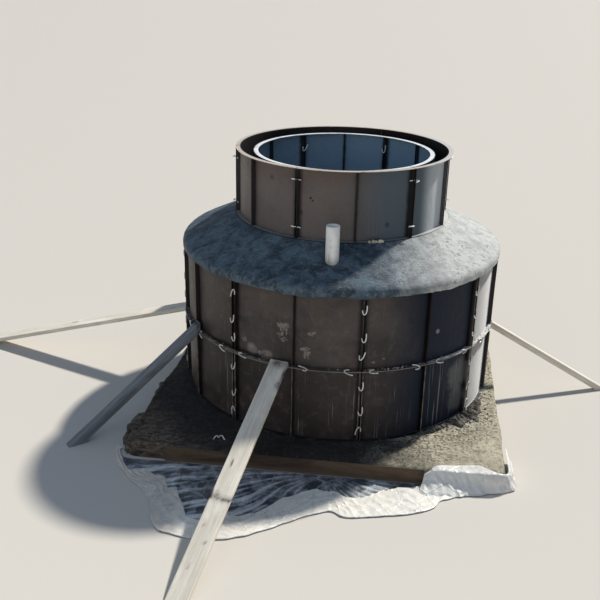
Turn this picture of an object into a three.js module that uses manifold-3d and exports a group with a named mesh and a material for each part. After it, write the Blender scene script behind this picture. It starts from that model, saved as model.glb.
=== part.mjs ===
// Cast-in-place biogas digester: a round concrete tank with a shouldered dome and an open neck,
// still in its pinned steel moulds, on a square base slab with timber props round it.
// Millimetres, +Z up. The origin is on the tank's axis, at the underside of the slab.
// An azimuth is in degrees from the front (-Y), positive towards +X.
import * as THREE from "three";
import { mergeVertices } from "three/addons/utils/BufferGeometryUtils.js";
import Module from "manifold-3d";

const solids = await Module();
solids.setup();

// Driving dimensions
const clearance = 0.3; // between pieces that bear on each other
const facet = 7.5; // degrees of one flat on every large round piece

const slabThickness = 150;
const slabCorners = [
  [-1893, -1735],
  [1503, -1994],
  [1812, 1557],
  [-1529, 1811],
];
const slabCornerRadius = 110;
const slabCornerFacets = 6;
const edgeForm = { start: 410, length: 2283, thickness: 6, height: 148 };

const tankRadius = 1520; // outer face of the concrete, inner face of the mould plates
const wallThickness = 150;
const tierHeight = 700;
const wallSegments = 4;

const neckRadius = 1001; // inner face of the outer neck mould
const neckCoreRadius = 876; // outer face of the inner neck mould
const shaftRadius = 780; // opening through the dome
const shoulderHeight = 307;
const shoulderOutside = [
  [1567, 268],
  [1552, 238],
  [1520, 216],
  [1440, 178],
  [1340, 133],
  [1230, 79],
  [1120, 29],
  [1060, 0],
]; // radius, and depth below the foot of the neck
const shoulderInside = [
  [shaftRadius, 150],
  [1000, 125],
  [1250, 60],
]; // radius, and height over the top of the tank
const shoulderSteps = { outside: 8, inside: 5 };
const neckHeight = 642;
const coreDrop = 41; // the inner neck mould ends this far below the outer one

const plateThickness = 4;
const flangeDepth = 41;
const flangeThickness = 5;
const shortBy = 1; // where two flanges cross, one ends this far short of the other's face
const tankRing = { panels: 8, seam: 8.5, gap: 4 };
const neckRing = { panels: 6, seam: -22.8, gap: 5 };
const coreRing = { panels: 6, seam: 29.9, gap: 4 };

const pipe = { radius: 60, wall: 4, azimuth: -3.05, offset: 1248, foot: 1570, top: 2077, sides: 16 };
const boreBelow = 100; // the bore for the pipe is cut from this far under its foot

// Each timber stands square to one flat of the mould at that azimuth. Its head is that far across the
// flat, and it leans across by its skew for each millimetre outwards.
const timbers = [
  {
    name: "front_plank",
    azimuth: -17.75,
    offset: -19,
    skew: 0.053,
    rest: "flange",
    head: 852,
    foot: 3695,
    width: 170,
    depth: 42,
  },
  {
    name: "left_square_prop",
    azimuth: -55.25,
    offset: -60,
    skew: 0,
    rest: "flange",
    head: 852,
    foot: 2756,
    width: 85,
    depth: 85,
  },
  {
    name: "left_plank",
    azimuth: -92.75,
    offset: -18,
    skew: -0.134,
    rest: "plate",
    head: 714,
    foot: 3994,
    width: 180,
    depth: 42,
  },
  {
    name: "right_prop",
    azimuth: 87.25,
    offset: 0,
    skew: 0.1,
    rest: "plate",
    head: 725,
    foot: 2751,
    width: 62,
    depth: 62,
  },
];

const sheetThickness = 22; // height of the rumpled apron
const sheetEdge = [
  [-1985, -1560],
  [-1900, -1840],
  [-1672, -2155],
  [-1509, -2346],
  [-1400, -2699],
  [-1203, -2831],
  [-804, -2844],
  [-488, -2691],
  [-47, -2430],
  [162, -2486],
  [538, -2424],
  [808, -2345],
  [952, -2177],
  [1200, -2105],
  [1455, -2070],
  [1580, -2000],
  [1635, -1880],
  [1640, -1586],
];
const sheetLeftEnd = [-1895, -1640]; // beside the slab's left corner
const upturn = { start: 0.79, height: 166, thickness: 12, side: 430 }; // where it wraps the corner

// Levels and radii that follow
const tankFoot = slabThickness;
const seamLevel = tankFoot + tierHeight;
const tankTop = seamLevel + tierHeight;
const neckFoot = tankTop + shoulderHeight;
const rim = neckFoot + neckHeight;
const flangeTip = tankRadius + plateThickness + flangeDepth;
const wallInner = tankRadius - wallThickness;

const group = new THREE.Group();
const radians = THREE.MathUtils.degToRad;
const degrees = THREE.MathUtils.radToDeg;

const finishes = {
  concrete: { color: 0x9a958a, roughness: 0.95, metalness: 0 },
  freshConcrete: { color: 0x7f878c, roughness: 0.7, metalness: 0 },
  steel: { color: 0x35302e, roughness: 0.6, metalness: 0.7 },
  neckSteel: { color: 0x3b3431, roughness: 0.55, metalness: 0.7 },
  coreSteel: { color: 0x2a3038, roughness: 0.5, metalness: 0.7 },
  rust: { color: 0x5b3c2a, roughness: 0.9, metalness: 0.2 },
  timber: { color: 0xb3aa98, roughness: 0.9, metalness: 0 },
  darkTimber: { color: 0x6d7880, roughness: 0.9, metalness: 0 },
  plastic: { color: 0xdcdcd8, roughness: 0.4, metalness: 0 },
  sheet: { color: 0xd8dde0, roughness: 0.35, metalness: 0 },
};

function addMesh(name, geometry, finish) {
  const material = new THREE.MeshStandardMaterial(finishes[finish]);
  const mesh = new THREE.Mesh(geometry, material);
  mesh.name = name;
  group.add(mesh);
  return mesh;
}

// A closed geometry as a solid that can be joined and cut
function toSolid(geometry) {
  const bare = geometry.clone();
  bare.deleteAttribute("normal");
  bare.deleteAttribute("uv");
  const merged = mergeVertices(bare, 1e-3);
  const vertProperties = merged.attributes.position.array;
  const triVerts = new Uint32Array(merged.index.array);
  return new solids.Manifold(new solids.Mesh({ numProp: 3, vertProperties, triVerts }));
}

function toGeometry(solid) {
  const mesh = solid.getMesh();
  const geometry = new THREE.BufferGeometry();
  geometry.setAttribute("position", new THREE.BufferAttribute(mesh.vertProperties, 3));
  geometry.setIndex(new THREE.BufferAttribute(mesh.triVerts, 1));
  return geometry.toNonIndexed();
}

function join(geometries) {
  const [first, ...rest] = geometries.map(toSolid);
  return toGeometry(rest.reduce((whole, piece) => whole.add(piece), first));
}

// A point of the plan at a radius and an azimuth
function polar(radius, azimuth) {
  const angle = radians(azimuth);
  return new THREE.Vector2(radius * Math.sin(angle), -radius * Math.cos(angle));
}

// Azimuths of the corners from one side of a piece to the other; its middle is at azimuth 0
// and its full width, before the gaps at its sides, is a whole number of facets
function facetStops(step, halfGap) {
  const stops = [-step / 2 + halfGap];
  for (let azimuth = -step / 2 + facet; azimuth < step / 2 - facet / 2; azimuth += facet) stops.push(azimuth);
  return [...stops, step / 2 - halfGap];
}

function extrude(points, depth, low = 0) {
  const geometry = new THREE.ExtrudeGeometry(new THREE.Shape(points), { depth, bevelEnabled: false });
  return geometry.translate(0, 0, low);
}

// A piece of a flat ring, its middle at azimuth 0
function ringSector(inner, outer, step, halfGap, depth, low = 0) {
  const stops = facetStops(step, halfGap);
  const outline = [
    ...stops.map((azimuth) => polar(outer, azimuth)),
    ...stops.toReversed().map((azimuth) => polar(inner, azimuth)),
  ];
  return extrude(outline, depth, low);
}

// One mould panel: a curved plate with a flange on each edge and a stiffening rib up its middle.
// smooth is the radius of its plain face, and its flanges stand outward or inward from the other one.
function mouldPanel(smooth, outward, ring, height) {
  const sign = outward ? 1 : -1;
  const back = smooth + sign * plateThickness;
  const tip = back + sign * flangeDepth;
  const ribTip = tip - sign * shortBy;
  const step = 360 / ring.panels;
  const halfGap = degrees(ring.gap / 2 / smooth);
  const stops = facetStops(step, halfGap);
  const inset = (radius) => degrees(flangeThickness / radius);
  const side = stops[0];
  const halfBack = stops.filter((azimuth) => azimuth > side && azimuth < -facet / 2);
  const leftHalf = [
    polar(ribTip, side),
    polar(ribTip, side + inset(ribTip)),
    polar(back, side + inset(back)),
    ...halfBack.map((azimuth) => polar(back, azimuth)),
    polar(back, -inset(back) / 2),
    polar(ribTip, -inset(ribTip) / 2),
  ];
  const rightHalf = leftHalf.toReversed().map((point) => new THREE.Vector2(-point.x, point.y));
  const comb = [...leftHalf, ...rightHalf, ...stops.toReversed().map((azimuth) => polar(smooth, azimuth))];
  const flange = (low) => {
    const shorter = halfGap + degrees(shortBy / smooth);
    const middle = (smooth + back) / 2;
    return ringSector(Math.min(middle, tip), Math.max(middle, tip), step, shorter, flangeThickness, low);
  };
  return join([extrude(comb, height), flange(0), flange(height - flangeThickness)]);
}

function addMouldRing(prefix, smooth, outward, ring, low, high, finish) {
  const geometry = mouldPanel(smooth, outward, ring, high - low - clearance);
  for (let index = 0; index < ring.panels; index++) {
    const mesh = addMesh(`${prefix}_${index + 1}`, geometry, finish);
    mesh.position.z = low + clearance;
    mesh.rotation.z = radians(ring.seam + ((index + 0.5) * 360) / ring.panels);
  }
}

// A closed outline with each corner rounded
function roundedOutline(corners, radius) {
  const points = corners.map(([x, y]) => new THREE.Vector2(x, y));
  const shape = new THREE.Shape();
  points.forEach((corner, i) => {
    const before = points[(i + points.length - 1) % points.length];
    const after = points[(i + 1) % points.length];
    const start = before.clone().sub(corner).setLength(radius).add(corner);
    const end = after.clone().sub(corner).setLength(radius).add(corner);
    if (i === 0) shape.moveTo(start.x, start.y);
    else shape.lineTo(start.x, start.y);
    shape.quadraticCurveTo(corner.x, corner.y, end.x, end.y);
  });
  shape.closePath();
  return shape;
}

function addSlab() {
  const shape = roundedOutline(slabCorners, slabCornerRadius);
  const options = { depth: slabThickness, bevelEnabled: false, curveSegments: slabCornerFacets };
  addMesh("base_slab", new THREE.ExtrudeGeometry(shape, options), "concrete");
}

// The front edge of the slab, from its left corner: a place along it and out from it
const frontLeft = new THREE.Vector2(...slabCorners[0]);
const frontRight = new THREE.Vector2(...slabCorners[1]);
const frontDirection = frontRight.clone().sub(frontLeft).normalize();
const frontLength = frontRight.distanceTo(frontLeft);
function alongFront(distance, outwards) {
  const out = new THREE.Vector2(frontDirection.y, -frontDirection.x);
  return frontLeft.clone().addScaledVector(frontDirection, distance).addScaledVector(out, outwards);
}

// The rusty steel form that holds the slab's front edge
function addEdgeForm() {
  const { start, length, thickness, height } = edgeForm;
  const mesh = addMesh("slab_edge_form", new THREE.BoxGeometry(length, thickness, height), "rust");
  const middle = alongFront(start + length / 2, clearance + thickness / 2);
  mesh.position.set(middle.x, middle.y, height / 2);
  mesh.rotation.z = frontDirection.angle();
}

// The cylindrical wall, in quarters
function addTankWall() {
  const step = 360 / wallSegments;
  const halfGap = degrees(clearance / 2 / wallInner);
  const height = tankTop - tankFoot - clearance;
  const geometry = ringSector(wallInner, tankRadius - clearance, step, halfGap, height);
  for (let index = 0; index < wallSegments; index++) {
    const mesh = addMesh(`tank_wall_${index + 1}`, geometry, "concrete");
    mesh.position.z = tankFoot + clearance;
    mesh.rotation.z = radians(tankRing.seam + (index + 0.5) * step);
  }
}

// A body of revolution from a closed profile of radius and height
function revolve(profile, sides, start) {
  const points = profile.map(([radius, height]) => new THREE.Vector2(radius, height));
  const geometry = new THREE.LatheGeometry([...points, points[0].clone()], sides, start);
  return geometry.rotateX(Math.PI / 2);
}

// The pipe's axis, as a piece of revolution is moved to it
function onPipeAxis(geometry) {
  const place = polar(pipe.offset, pipe.azimuth);
  return geometry.translate(place.x, place.y, 0);
}

// The shoulder over the tank: a low cone with a rounded lip, open in the middle, bored for the pipe
function addShoulder() {
  const base = tankTop + clearance;
  const outside = new THREE.SplineCurve([
    new THREE.Vector2(flangeTip - shortBy, base),
    ...shoulderOutside.map(([radius, depth]) => new THREE.Vector2(radius, neckFoot - depth)),
  ]);
  const inside = new THREE.SplineCurve([
    ...shoulderInside.map(([radius, height]) => new THREE.Vector2(radius, tankTop + height)),
    new THREE.Vector2(wallInner, base),
  ]);
  const profile = [
    ...outside.getPoints(shoulderSteps.outside),
    new THREE.Vector2(shaftRadius, neckFoot),
    ...inside.getPoints(shoulderSteps.inside),
  ].map((point) => [point.x, point.y]);
  const sides = 360 / facet;
  const dome = toSolid(revolve(profile, sides, radians(tankRing.seam)));
  const drill = pipe.radius + clearance;
  const boreProfile = [
    [0, pipe.foot - boreBelow],
    [drill, pipe.foot - boreBelow],
    [drill, pipe.top],
    [0, pipe.top],
  ].map(([radius, height]) => new THREE.Vector2(radius, height));
  const bore = new THREE.LatheGeometry(boreProfile, pipe.sides).rotateX(Math.PI / 2);
  addMesh("dome_shoulder", toGeometry(dome.subtract(toSolid(onPipeAxis(bore)))), "freshConcrete");
}

function addPipe() {
  const inner = pipe.radius - pipe.wall;
  const profile = [
    [inner, pipe.foot],
    [pipe.radius, pipe.foot],
    [pipe.radius, pipe.top],
    [inner, pipe.top],
  ];
  addMesh("pipe_stub", onPipeAxis(revolve(profile, pipe.sides, 0)), "plastic");
}

// A raking timber: its head is cut upright against the mould and its foot is cut to the ground
function addTimber({ name, azimuth, offset, skew, rest, head, foot, width, depth }) {
  const flat = Math.cos(radians(facet / 2)); // the mould's facets lie inside its corners
  const bearing = (rest === "flange" ? flangeTip : tankRadius + plateThickness) * flat;
  const headRadius = bearing + clearance;
  const slope = Math.atan2(head, foot - headRadius);
  const side = new THREE.Shape([
    new THREE.Vector2(foot, 0),
    new THREE.Vector2(foot + depth / Math.sin(slope), 0),
    new THREE.Vector2(headRadius, head + depth / Math.cos(slope)),
    new THREE.Vector2(headRadius, head),
  ]);
  const geometry = new THREE.ExtrudeGeometry(side, { depth: width, bevelEnabled: false });
  geometry.translate(0, 0, -width / 2).rotateX(Math.PI / 2);
  geometry.applyMatrix4(new THREE.Matrix4().makeShear(skew, 0, 0, 0, 0, 0));
  geometry.translate(0, offset - skew * headRadius, 0);
  const mesh = addMesh(name, geometry, name.includes("square") ? "darkTimber" : "timber");
  mesh.rotation.z = radians(azimuth - 90);
}

// The polythene under the slab: an apron on the ground, turned up round the front right corner
function addSheet() {
  const margin = edgeForm.thickness + 4 * clearance;
  const rightSide = new THREE.Vector2(...slabCorners[2]).sub(frontRight).normalize();
  const rightOut = new THREE.Vector2(rightSide.y, -rightSide.x);
  const corner = (offset) =>
    frontRight.clone().addScaledVector(frontDirection, offset).addScaledVector(rightSide, -offset);
  const besideSlab = (distance, offset) =>
    frontRight.clone().addScaledVector(rightSide, distance).addScaledVector(rightOut, offset);
  const inner = margin + upturn.thickness / 3;
  const far = margin + upturn.thickness;
  const apron = [
    ...sheetEdge.map(([x, y]) => new THREE.Vector2(x, y)),
    besideSlab(upturn.side, inner),
    corner(inner),
    alongFront(0, inner).addScaledVector(frontDirection, -inner),
    new THREE.Vector2(...sheetLeftEnd),
  ];
  const end = upturn.side - upturn.thickness;
  const upright = [
    alongFront(frontLength * upturn.start, margin),
    alongFront(frontLength * upturn.start, far),
    corner(far),
    besideSlab(end, far),
    besideSlab(end, margin),
    corner(margin),
  ];
  const geometry = join([extrude(apron, sheetThickness), extrude(upright, upturn.height)]);
  addMesh("ground_sheet", geometry, "sheet");
}

addSlab();
addEdgeForm();
addTankWall();
addMouldRing("lower_mould", tankRadius, true, tankRing, tankFoot, seamLevel, "steel");
addMouldRing("upper_mould", tankRadius, true, tankRing, seamLevel, tankTop, "steel");
addShoulder();
addMouldRing("neck_mould", neckRadius, true, neckRing, neckFoot, rim, "neckSteel");
addMouldRing("neck_core", neckCoreRadius, false, coreRing, neckFoot, rim - coreDrop, "coreSteel");
addPipe();
timbers.forEach(addTimber);
addSheet();

export default group;
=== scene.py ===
import math
import random

import bpy
import numpy as np
from mathutils import Matrix, Vector


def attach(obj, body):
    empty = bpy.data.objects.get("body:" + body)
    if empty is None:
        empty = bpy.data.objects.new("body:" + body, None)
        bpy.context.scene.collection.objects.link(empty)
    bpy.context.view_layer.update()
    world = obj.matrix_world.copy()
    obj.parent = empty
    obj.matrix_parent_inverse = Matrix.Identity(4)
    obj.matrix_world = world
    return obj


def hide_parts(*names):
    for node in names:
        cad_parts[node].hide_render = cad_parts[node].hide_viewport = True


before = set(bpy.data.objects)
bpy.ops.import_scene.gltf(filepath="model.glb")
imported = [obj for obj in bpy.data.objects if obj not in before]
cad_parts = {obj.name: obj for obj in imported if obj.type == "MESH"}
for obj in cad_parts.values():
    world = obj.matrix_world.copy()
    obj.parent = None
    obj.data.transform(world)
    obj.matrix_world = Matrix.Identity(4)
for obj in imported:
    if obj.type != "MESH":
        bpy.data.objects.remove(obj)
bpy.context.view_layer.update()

# A concrete biogas digester in its pinned steel moulds, with props and a polythene ground sheet.
# Azimuths are in degrees from the front (-Y), positive towards +X. Lengths are in metres.
tank = {"radius": 1.52, "foot": 0.15, "seam": 0.85, "top": 1.55, "panels": 8, "seamAzimuth": 8.5}
neck = {"radius": 1.001, "foot": 1.857, "top": 2.499, "panels": 6, "seamAzimuth": -22.8}
core = {"radius": 0.876, "top": 2.458, "panels": 6, "seamAzimuth": 29.9}
plate = {"thickness": 0.004, "flange": 0.041, "edge": 0.005, "gap": 0.0003}
print("frame loaded:", len(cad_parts), "nodes")


# Points and noise
def polar(radius, azimuth, height=0.0):
    angle = np.radians(azimuth)
    parts = np.broadcast_arrays(radius * np.sin(angle), -radius * np.cos(angle), height)
    return np.stack(parts, -1)


def latticeValue(ix, iy, iz, seed):
    n = (ix * 374761393 + iy * 668265263 + iz * 1274126177 + seed * 144665) & 0xFFFFFFFF
    n = ((n ^ (n >> 13)) * 1103515245) & 0xFFFFFFFF
    return ((n ^ (n >> 16)) & 0xFFFF) / 32767.5 - 1.0


def softNoise(points, size, seed=0):  # from -1 to 1, its bumps are about size apart
    q = np.asarray(points, float) / size
    cell = np.floor(q).astype(np.int64)
    part = q - cell
    part = part * part * (3 - 2 * part)
    total = np.zeros(q.shape[:-1])
    for corner in np.ndindex(2, 2, 2):
        weight = np.ones(q.shape[:-1])
        for axis in range(3):
            weight = weight * (part[..., axis] if corner[axis] else 1 - part[..., axis])
        total += weight * latticeValue(*(cell[..., axis] + corner[axis] for axis in range(3)), seed)
    return total


def roughNoise(points, size, seed=0, layers=4):
    total, weight = 0.0, 0.6
    for layer in range(layers):
        total = total + weight * softNoise(points, size / 2**layer, seed + layer)
        weight *= 0.55
    return total


def fade(value, low, high):
    share = np.clip((np.asarray(value, float) - low) / (high - low), 0, 1)
    return share * share * (3 - 2 * share)


def tent(value):  # a row of sharp ridges, one to each whole number
    return 1 - np.abs(2 * (value - np.floor(value)) - 1)


def smoothPath(points, count):  # a curve through all the points, count places along it
    points = np.asarray(points, float)
    ends = np.concatenate([[2 * points[0] - points[1]], points, [2 * points[-1] - points[-2]]])
    where = np.linspace(0, len(points) - 1, count)
    i = np.minimum(where.astype(int), len(points) - 2)
    t = (where - i)[:, None]
    a, b, c, d = (ends[i + k] for k in range(4))
    return 0.5 * (2 * b + (c - a) * t + (2 * a - 5 * b + 4 * c - d) * t**2 + (3 * b - a - 3 * c + d) * t**3)


def levelled(flat, height=0.0):  # places on the ground, lifted to a height
    return np.concatenate([flat, np.broadcast_to(height, flat.shape[:-1])[..., None]], -1)


def unitOf(vectors):
    return vectors / np.linalg.norm(vectors, axis=-1)[..., None]


# Meshes
def newObject(name, points, faces, material=None, sharpOver=None):
    mesh = bpy.data.meshes.new(name)
    mesh.from_pydata(np.asarray(points, float).reshape(-1, 3).tolist(), [], faces)
    mesh.update()
    piece = bpy.data.objects.new(name, mesh)
    bpy.context.scene.collection.objects.link(piece)
    if material:
        mesh.materials.append(material)
    mesh.shade_smooth()
    if sharpOver:
        mesh.set_sharp_from_angle(angle=math.radians(sharpOver))
    return piece


def gridFaces(rows, columns, closed=False, flip=False):
    faces = []
    for r in range(rows - 1):
        for c in range(columns if closed else columns - 1):
            d = (c + 1) % columns
            face = (r * columns + c, r * columns + d, (r + 1) * columns + d, (r + 1) * columns + c)
            faces.append(face[::-1] if flip else face)
    return faces


def addValues(piece, label, values):  # one number or one vector for each point
    values = np.asarray(values, np.float32)
    kind, key = ("FLOAT", "value") if values.ndim == 1 else ("FLOAT_VECTOR", "vector")
    piece.data.attributes.new(label, kind, "POINT").data.foreach_set(key, values.ravel())


def settle(piece, slot, *nodes):
    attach(piece, "root")
    if nodes:
        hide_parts(*nodes)


# Nodes for materials and for Geometry Nodes
class Thread:  # one output of a node, worked on like a number or a colour
    def __init__(self, socket):
        self.socket, self.tree = socket, socket.id_data

    def __add__(self, other):
        return calc("ADD", self, other)

    def __sub__(self, other):
        return calc("SUBTRACT", self, other)

    def __rsub__(self, other):
        return calc("SUBTRACT", other, self)

    def __mul__(self, other):
        return calc("MULTIPLY", self, other)

    def __truediv__(self, other):
        return calc("DIVIDE", self, other)

    def __rtruediv__(self, other):
        return calc("DIVIDE", other, self)

    def most(self, other):
        return calc("MAXIMUM", self, other)

    def between(self, low, high, first=0.0, last=1.0):  # goes softly from first to last while the value goes from low to high
        inputs = {"Value": self, "From Min": low, "From Max": high, "To Min": first, "To Max": last}
        return node(self.tree, "ShaderNodeMapRange", inputs, interpolation_type="SMOOTHSTEP")

    def lay(self, tone, share):  # lays a tone over this colour
        return blend(self, tone, share)


def feed(socket, value):
    if isinstance(value, Thread):
        socket.id_data.links.new(value.socket, socket)
    elif socket.type == "RGBA" and len(value) == 3:
        socket.default_value = (*value, 1.0)
    else:
        socket.default_value = value


def node(tree, kind, inputs=None, output=0, **settings):
    made = tree.nodes.new(kind)
    for key, value in settings.items():
        setattr(made, key, value)
    for key, value in (inputs or {}).items():
        feed(made.inputs[key], value)
    return Thread(made.outputs[output])


def calc(action, first, second=0.0):
    tree = first.tree if isinstance(first, Thread) else second.tree
    return node(tree, "ShaderNodeMath", {0: first, 1: second}, operation=action)


def vectorCalc(action, first, second, output=0):
    inputs = {0: first, "Scale" if action == "SCALE" else 1: second}
    return node(first.tree, "ShaderNodeVectorMath", inputs, output, operation=action)


def blend(first, second, share):
    return node(share.tree, "ShaderNodeMix", {0: share, 6: first, 7: second}, 2, data_type="RGBA")


def joinXYZ(tree, x=0.0, y=0.0, z=0.0):
    return node(tree, "ShaderNodeCombineXYZ", {"X": x, "Y": y, "Z": z})


def splitXYZ(vector):
    return [Thread(socket) for socket in node(vector.tree, "ShaderNodeSeparateXYZ", {"Vector": vector}).socket.node.outputs]


def spaceOf(tree, scale=(1, 1, 1), shift=(0, 0, 0), own=None):  # the object's coordinates, or those that its mesh carries
    if own:
        place = node(tree, "ShaderNodeAttribute", None, "Vector", attribute_name=own)
    else:
        place = node(tree, "ShaderNodeTexCoord", None, "Object")
    return node(tree, "ShaderNodeMapping", {"Vector": place, "Location": shift, "Scale": scale})


def readValue(tree, label):
    return node(tree, "ShaderNodeAttribute", None, "Fac", attribute_name=label)


def noiseOf(vector, scale, detail=4.0, roughness=0.55, warp=0.0, output=0):
    inputs = {"Vector": vector, "Scale": scale, "Detail": detail, "Roughness": roughness, "Distortion": warp}
    return node(vector.tree, "ShaderNodeTexNoise", inputs, output)


def cellsOf(vector, scale, **settings):
    return node(vector.tree, "ShaderNodeTexVoronoi", {"Vector": vector, "Scale": scale}, "Distance", **settings)


def bumpOf(height, strength, distance, under=None):
    inputs = {"Height": height, "Strength": strength, "Distance": distance}
    if under:
        inputs["Normal"] = under
    return node(height.tree, "ShaderNodeBump", inputs)


def startMaterial(name, roughness, metallic=0.0, specular=0.5):
    material = bpy.data.materials.new(name)
    material.use_nodes = True
    inputs = material.node_tree.nodes["Principled BSDF"].inputs
    for key, value in (("Roughness", roughness), ("Metallic", metallic), ("Specular IOR Level", specular)):
        inputs[key].default_value = value
    return material, material.node_tree, inputs


# Mill scale on the mould plates: cloudy tones, seams darkened by oil and painted shade, painted shade lower down, a
# painted sky reflection and a painted sunlit glow on the right, bare flange tips, dusty ledges with painted sunlight,
# cement runs and smudges
def mouldSteel(name, look):
    material, tree, surface = startMaterial(name, 0.6, 0.1, 0.4)
    space = spaceOf(tree)
    x, _, z = splitXYZ(space)
    cloud = noiseOf(space, 2.3, 7, 0.62, 0.7)
    broad = noiseOf(spaceOf(tree, shift=(4, 7, 1)), 0.9, 4, 0.6, 0.4)
    blotch = noiseOf(space, 11.0, 8, 0.7, 0.4)
    fine = noiseOf(space, 95.0, 5, 0.65)
    brushed = noiseOf(spaceOf(tree, (46, 46, 1.6)), 1.0, 6, 0.62)
    labels = ("panelTone", "fromSeam", "fromRib", "flangeReach", "castSide")
    tone, fromSeam, fromRib, reach, cast = (readValue(tree, label) for label in labels)
    colour = blend(look["dark"], look["light"], cloud.between(0.34, 0.66))
    colour = colour.lay(look["warm"], broad.between(0.45, 0.62, 0.0, 0.75))
    colour = colour.lay(look["dark"], tone.between(0.2, 1.0, 0.0, 0.5))
    # painted shade: each ring darker towards its bottom
    colour = colour.lay(look["low"], (z + cloud * 0.1).between(*look["lowFrom"], look["lowShare"], 0.0))
    colour = colour.lay(look["high"], (z + cloud * 0.4).between(*look["highFrom"], 0.0, look["highShare"]))
    colour = colour.lay(look["dust"], blotch.between(0.5, 0.72, 0.0, look["mottle"]))
    colour = colour.lay(look["oilAndShade"], blotch.between(0.46, 0.3, 0.0, look["mottle"]))
    sparse = noiseOf(space, 3.1, 3, 0.5).between(0.42, 0.62)
    colour = colour.lay(look["dust"], brushed.between(0.55, 0.74, 0.0, look["dusting"]) * sparse)
    towards = x + broad * 0.5  # the right side reflects the open sky
    # painted reflection: a cooler, bluer tone on the right for the open sky
    colour = colour.lay(look["cool"], towards.between(*look["coolFrom"], 0.0, 0.9))
    # oil and painted shade: the plates darken towards their seams and ribs
    for way, width in ((fromSeam, 0.055), (fromRib, 0.02)):
        ragged = way + blotch * (width * 0.8)
        colour = colour.lay(look["oilAndShade"], ragged.between(width * 0.6, width * 1.5, look["seamOilAndShade"], 0.0))

    thin = noiseOf(spaceOf(tree, (105, 105, 1.0)), 1.0, 2, 0.5)
    wet = noiseOf(spaceOf(tree, (1, 1, 0.4)), 3.4, 3, 0.5).between(0.47, 0.6)
    # pale runs also fill a band from x 0.82 to 1.22
    wet = wet.most(x.between(0.82, 0.9) * x.between(1.18, 1.22, 1.0, 0.0))
    runs = thin.between(0.6, 0.68) * wet * (z + cloud * 0.6).between(*look["runsFrom"], look["runs"], 0.0)
    specks = noiseOf(space, 30.0, 9, 0.78).between(0.66, 0.71)
    specks = specks * noiseOf(space, 2.1, 2, 0.5).between(0.5, 0.62, 0.0, look["specks"])
    cement = runs.most(specks)
    colour = colour.lay(look["cement"], cement)
    for place, size, smudge, share in look["smudges"]:  # a smudge is a ragged ball round its place
        frayed = vectorCalc("DISTANCE", space, place, "Value") + (blotch - 0.5) * size
        colour = colour.lay(smudge, frayed.between(size * 0.5, size, share, 0.0))
    glance = node(tree, "ShaderNodeLayerWeight", {"Blend": 0.5}, "Facing")  # painted sunlit glow on the right: a pale dusty tone, showing most on a plate seen edge-on
    paintedSunGlow = x.between(*look["hazeFrom"]) * fromSeam.between(0.0, 0.03, 0.2, look["paintedSunGlowShare"])
    paintedSunGlow = paintedSunGlow * glance.between(0.3, 0.8, 0.6, 1.0) * reach.between(0.05, 0.15, 1.0, 0.1)
    colour = colour.lay(look["paintedSunGlowTone"], paintedSunGlow)

    outer = reach.between(0.82, 0.97)
    tip = blend(look["rust"], look["tip"], (z + blotch * 0.12).between(*look["bareFrom"], 1.0, 0.0))
    colour = colour.lay(tip.lay(look["oilAndShade"], blotch.between(0.44, 0.58, 0.6, 0.0)), outer)
    rusty = blotch.between(0.6, 0.72, 0.0, look["rusting"])
    colour = colour.lay(look["rust"], rusty)
    # pale dust on up-facing faces, with painted sunlight: paler towards the sunny right side
    upwards = splitXYZ(node(tree, "ShaderNodeNewGeometry", None, "True Normal"))[2].between(0.7, 0.95)
    lit = (towards + blotch * 0.5).between(1.1, 1.6, look["ledgeLeft"], 0.95)
    colour = colour.lay(look["ledge"], upwards * lit)
    for low, high, edgeTone in look["rims"]:  # a band of its own tone along the edge of a level flange: pale at the tier seam and neck rims, near black at the tank's foot
        band = z.between(low, low + 0.001) * z.between(high, high + 0.001, 1.0, 0.0) * blotch.between(0.34, 0.5, 0.35, 1.0)
        colour = colour.lay(edgeTone, band * reach.between(0.1, 0.3))
    # the cast side is near black: form oil, with painted shade in the deep gap between the neck rings
    feed(surface["Base Color"], colour.lay(look["oilAndShade"], cast * 0.97))
    rough = (blotch * 0.6 + brushed * 0.4).between(0.35, 0.65, *look["gloss"])
    feed(surface["Roughness"], rough.most(rusty.most(cement).most(outer) * 0.8))
    feed(surface["Sheen Weight"], x.between(*look["hazeFrom"], 0.02, look["haze"]) * (1.0 - cast))
    feed(surface["Specular IOR Level"], towards.between(*look["coolFrom"], 0.4, 0.1))
    height = fine * 0.3 + (cement * 0.9 + blotch)
    feed(surface["Normal"], bumpOf(height, 0.4, 0.002, bumpOf(cloud, 0.25, 0.02)))
    return material
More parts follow.
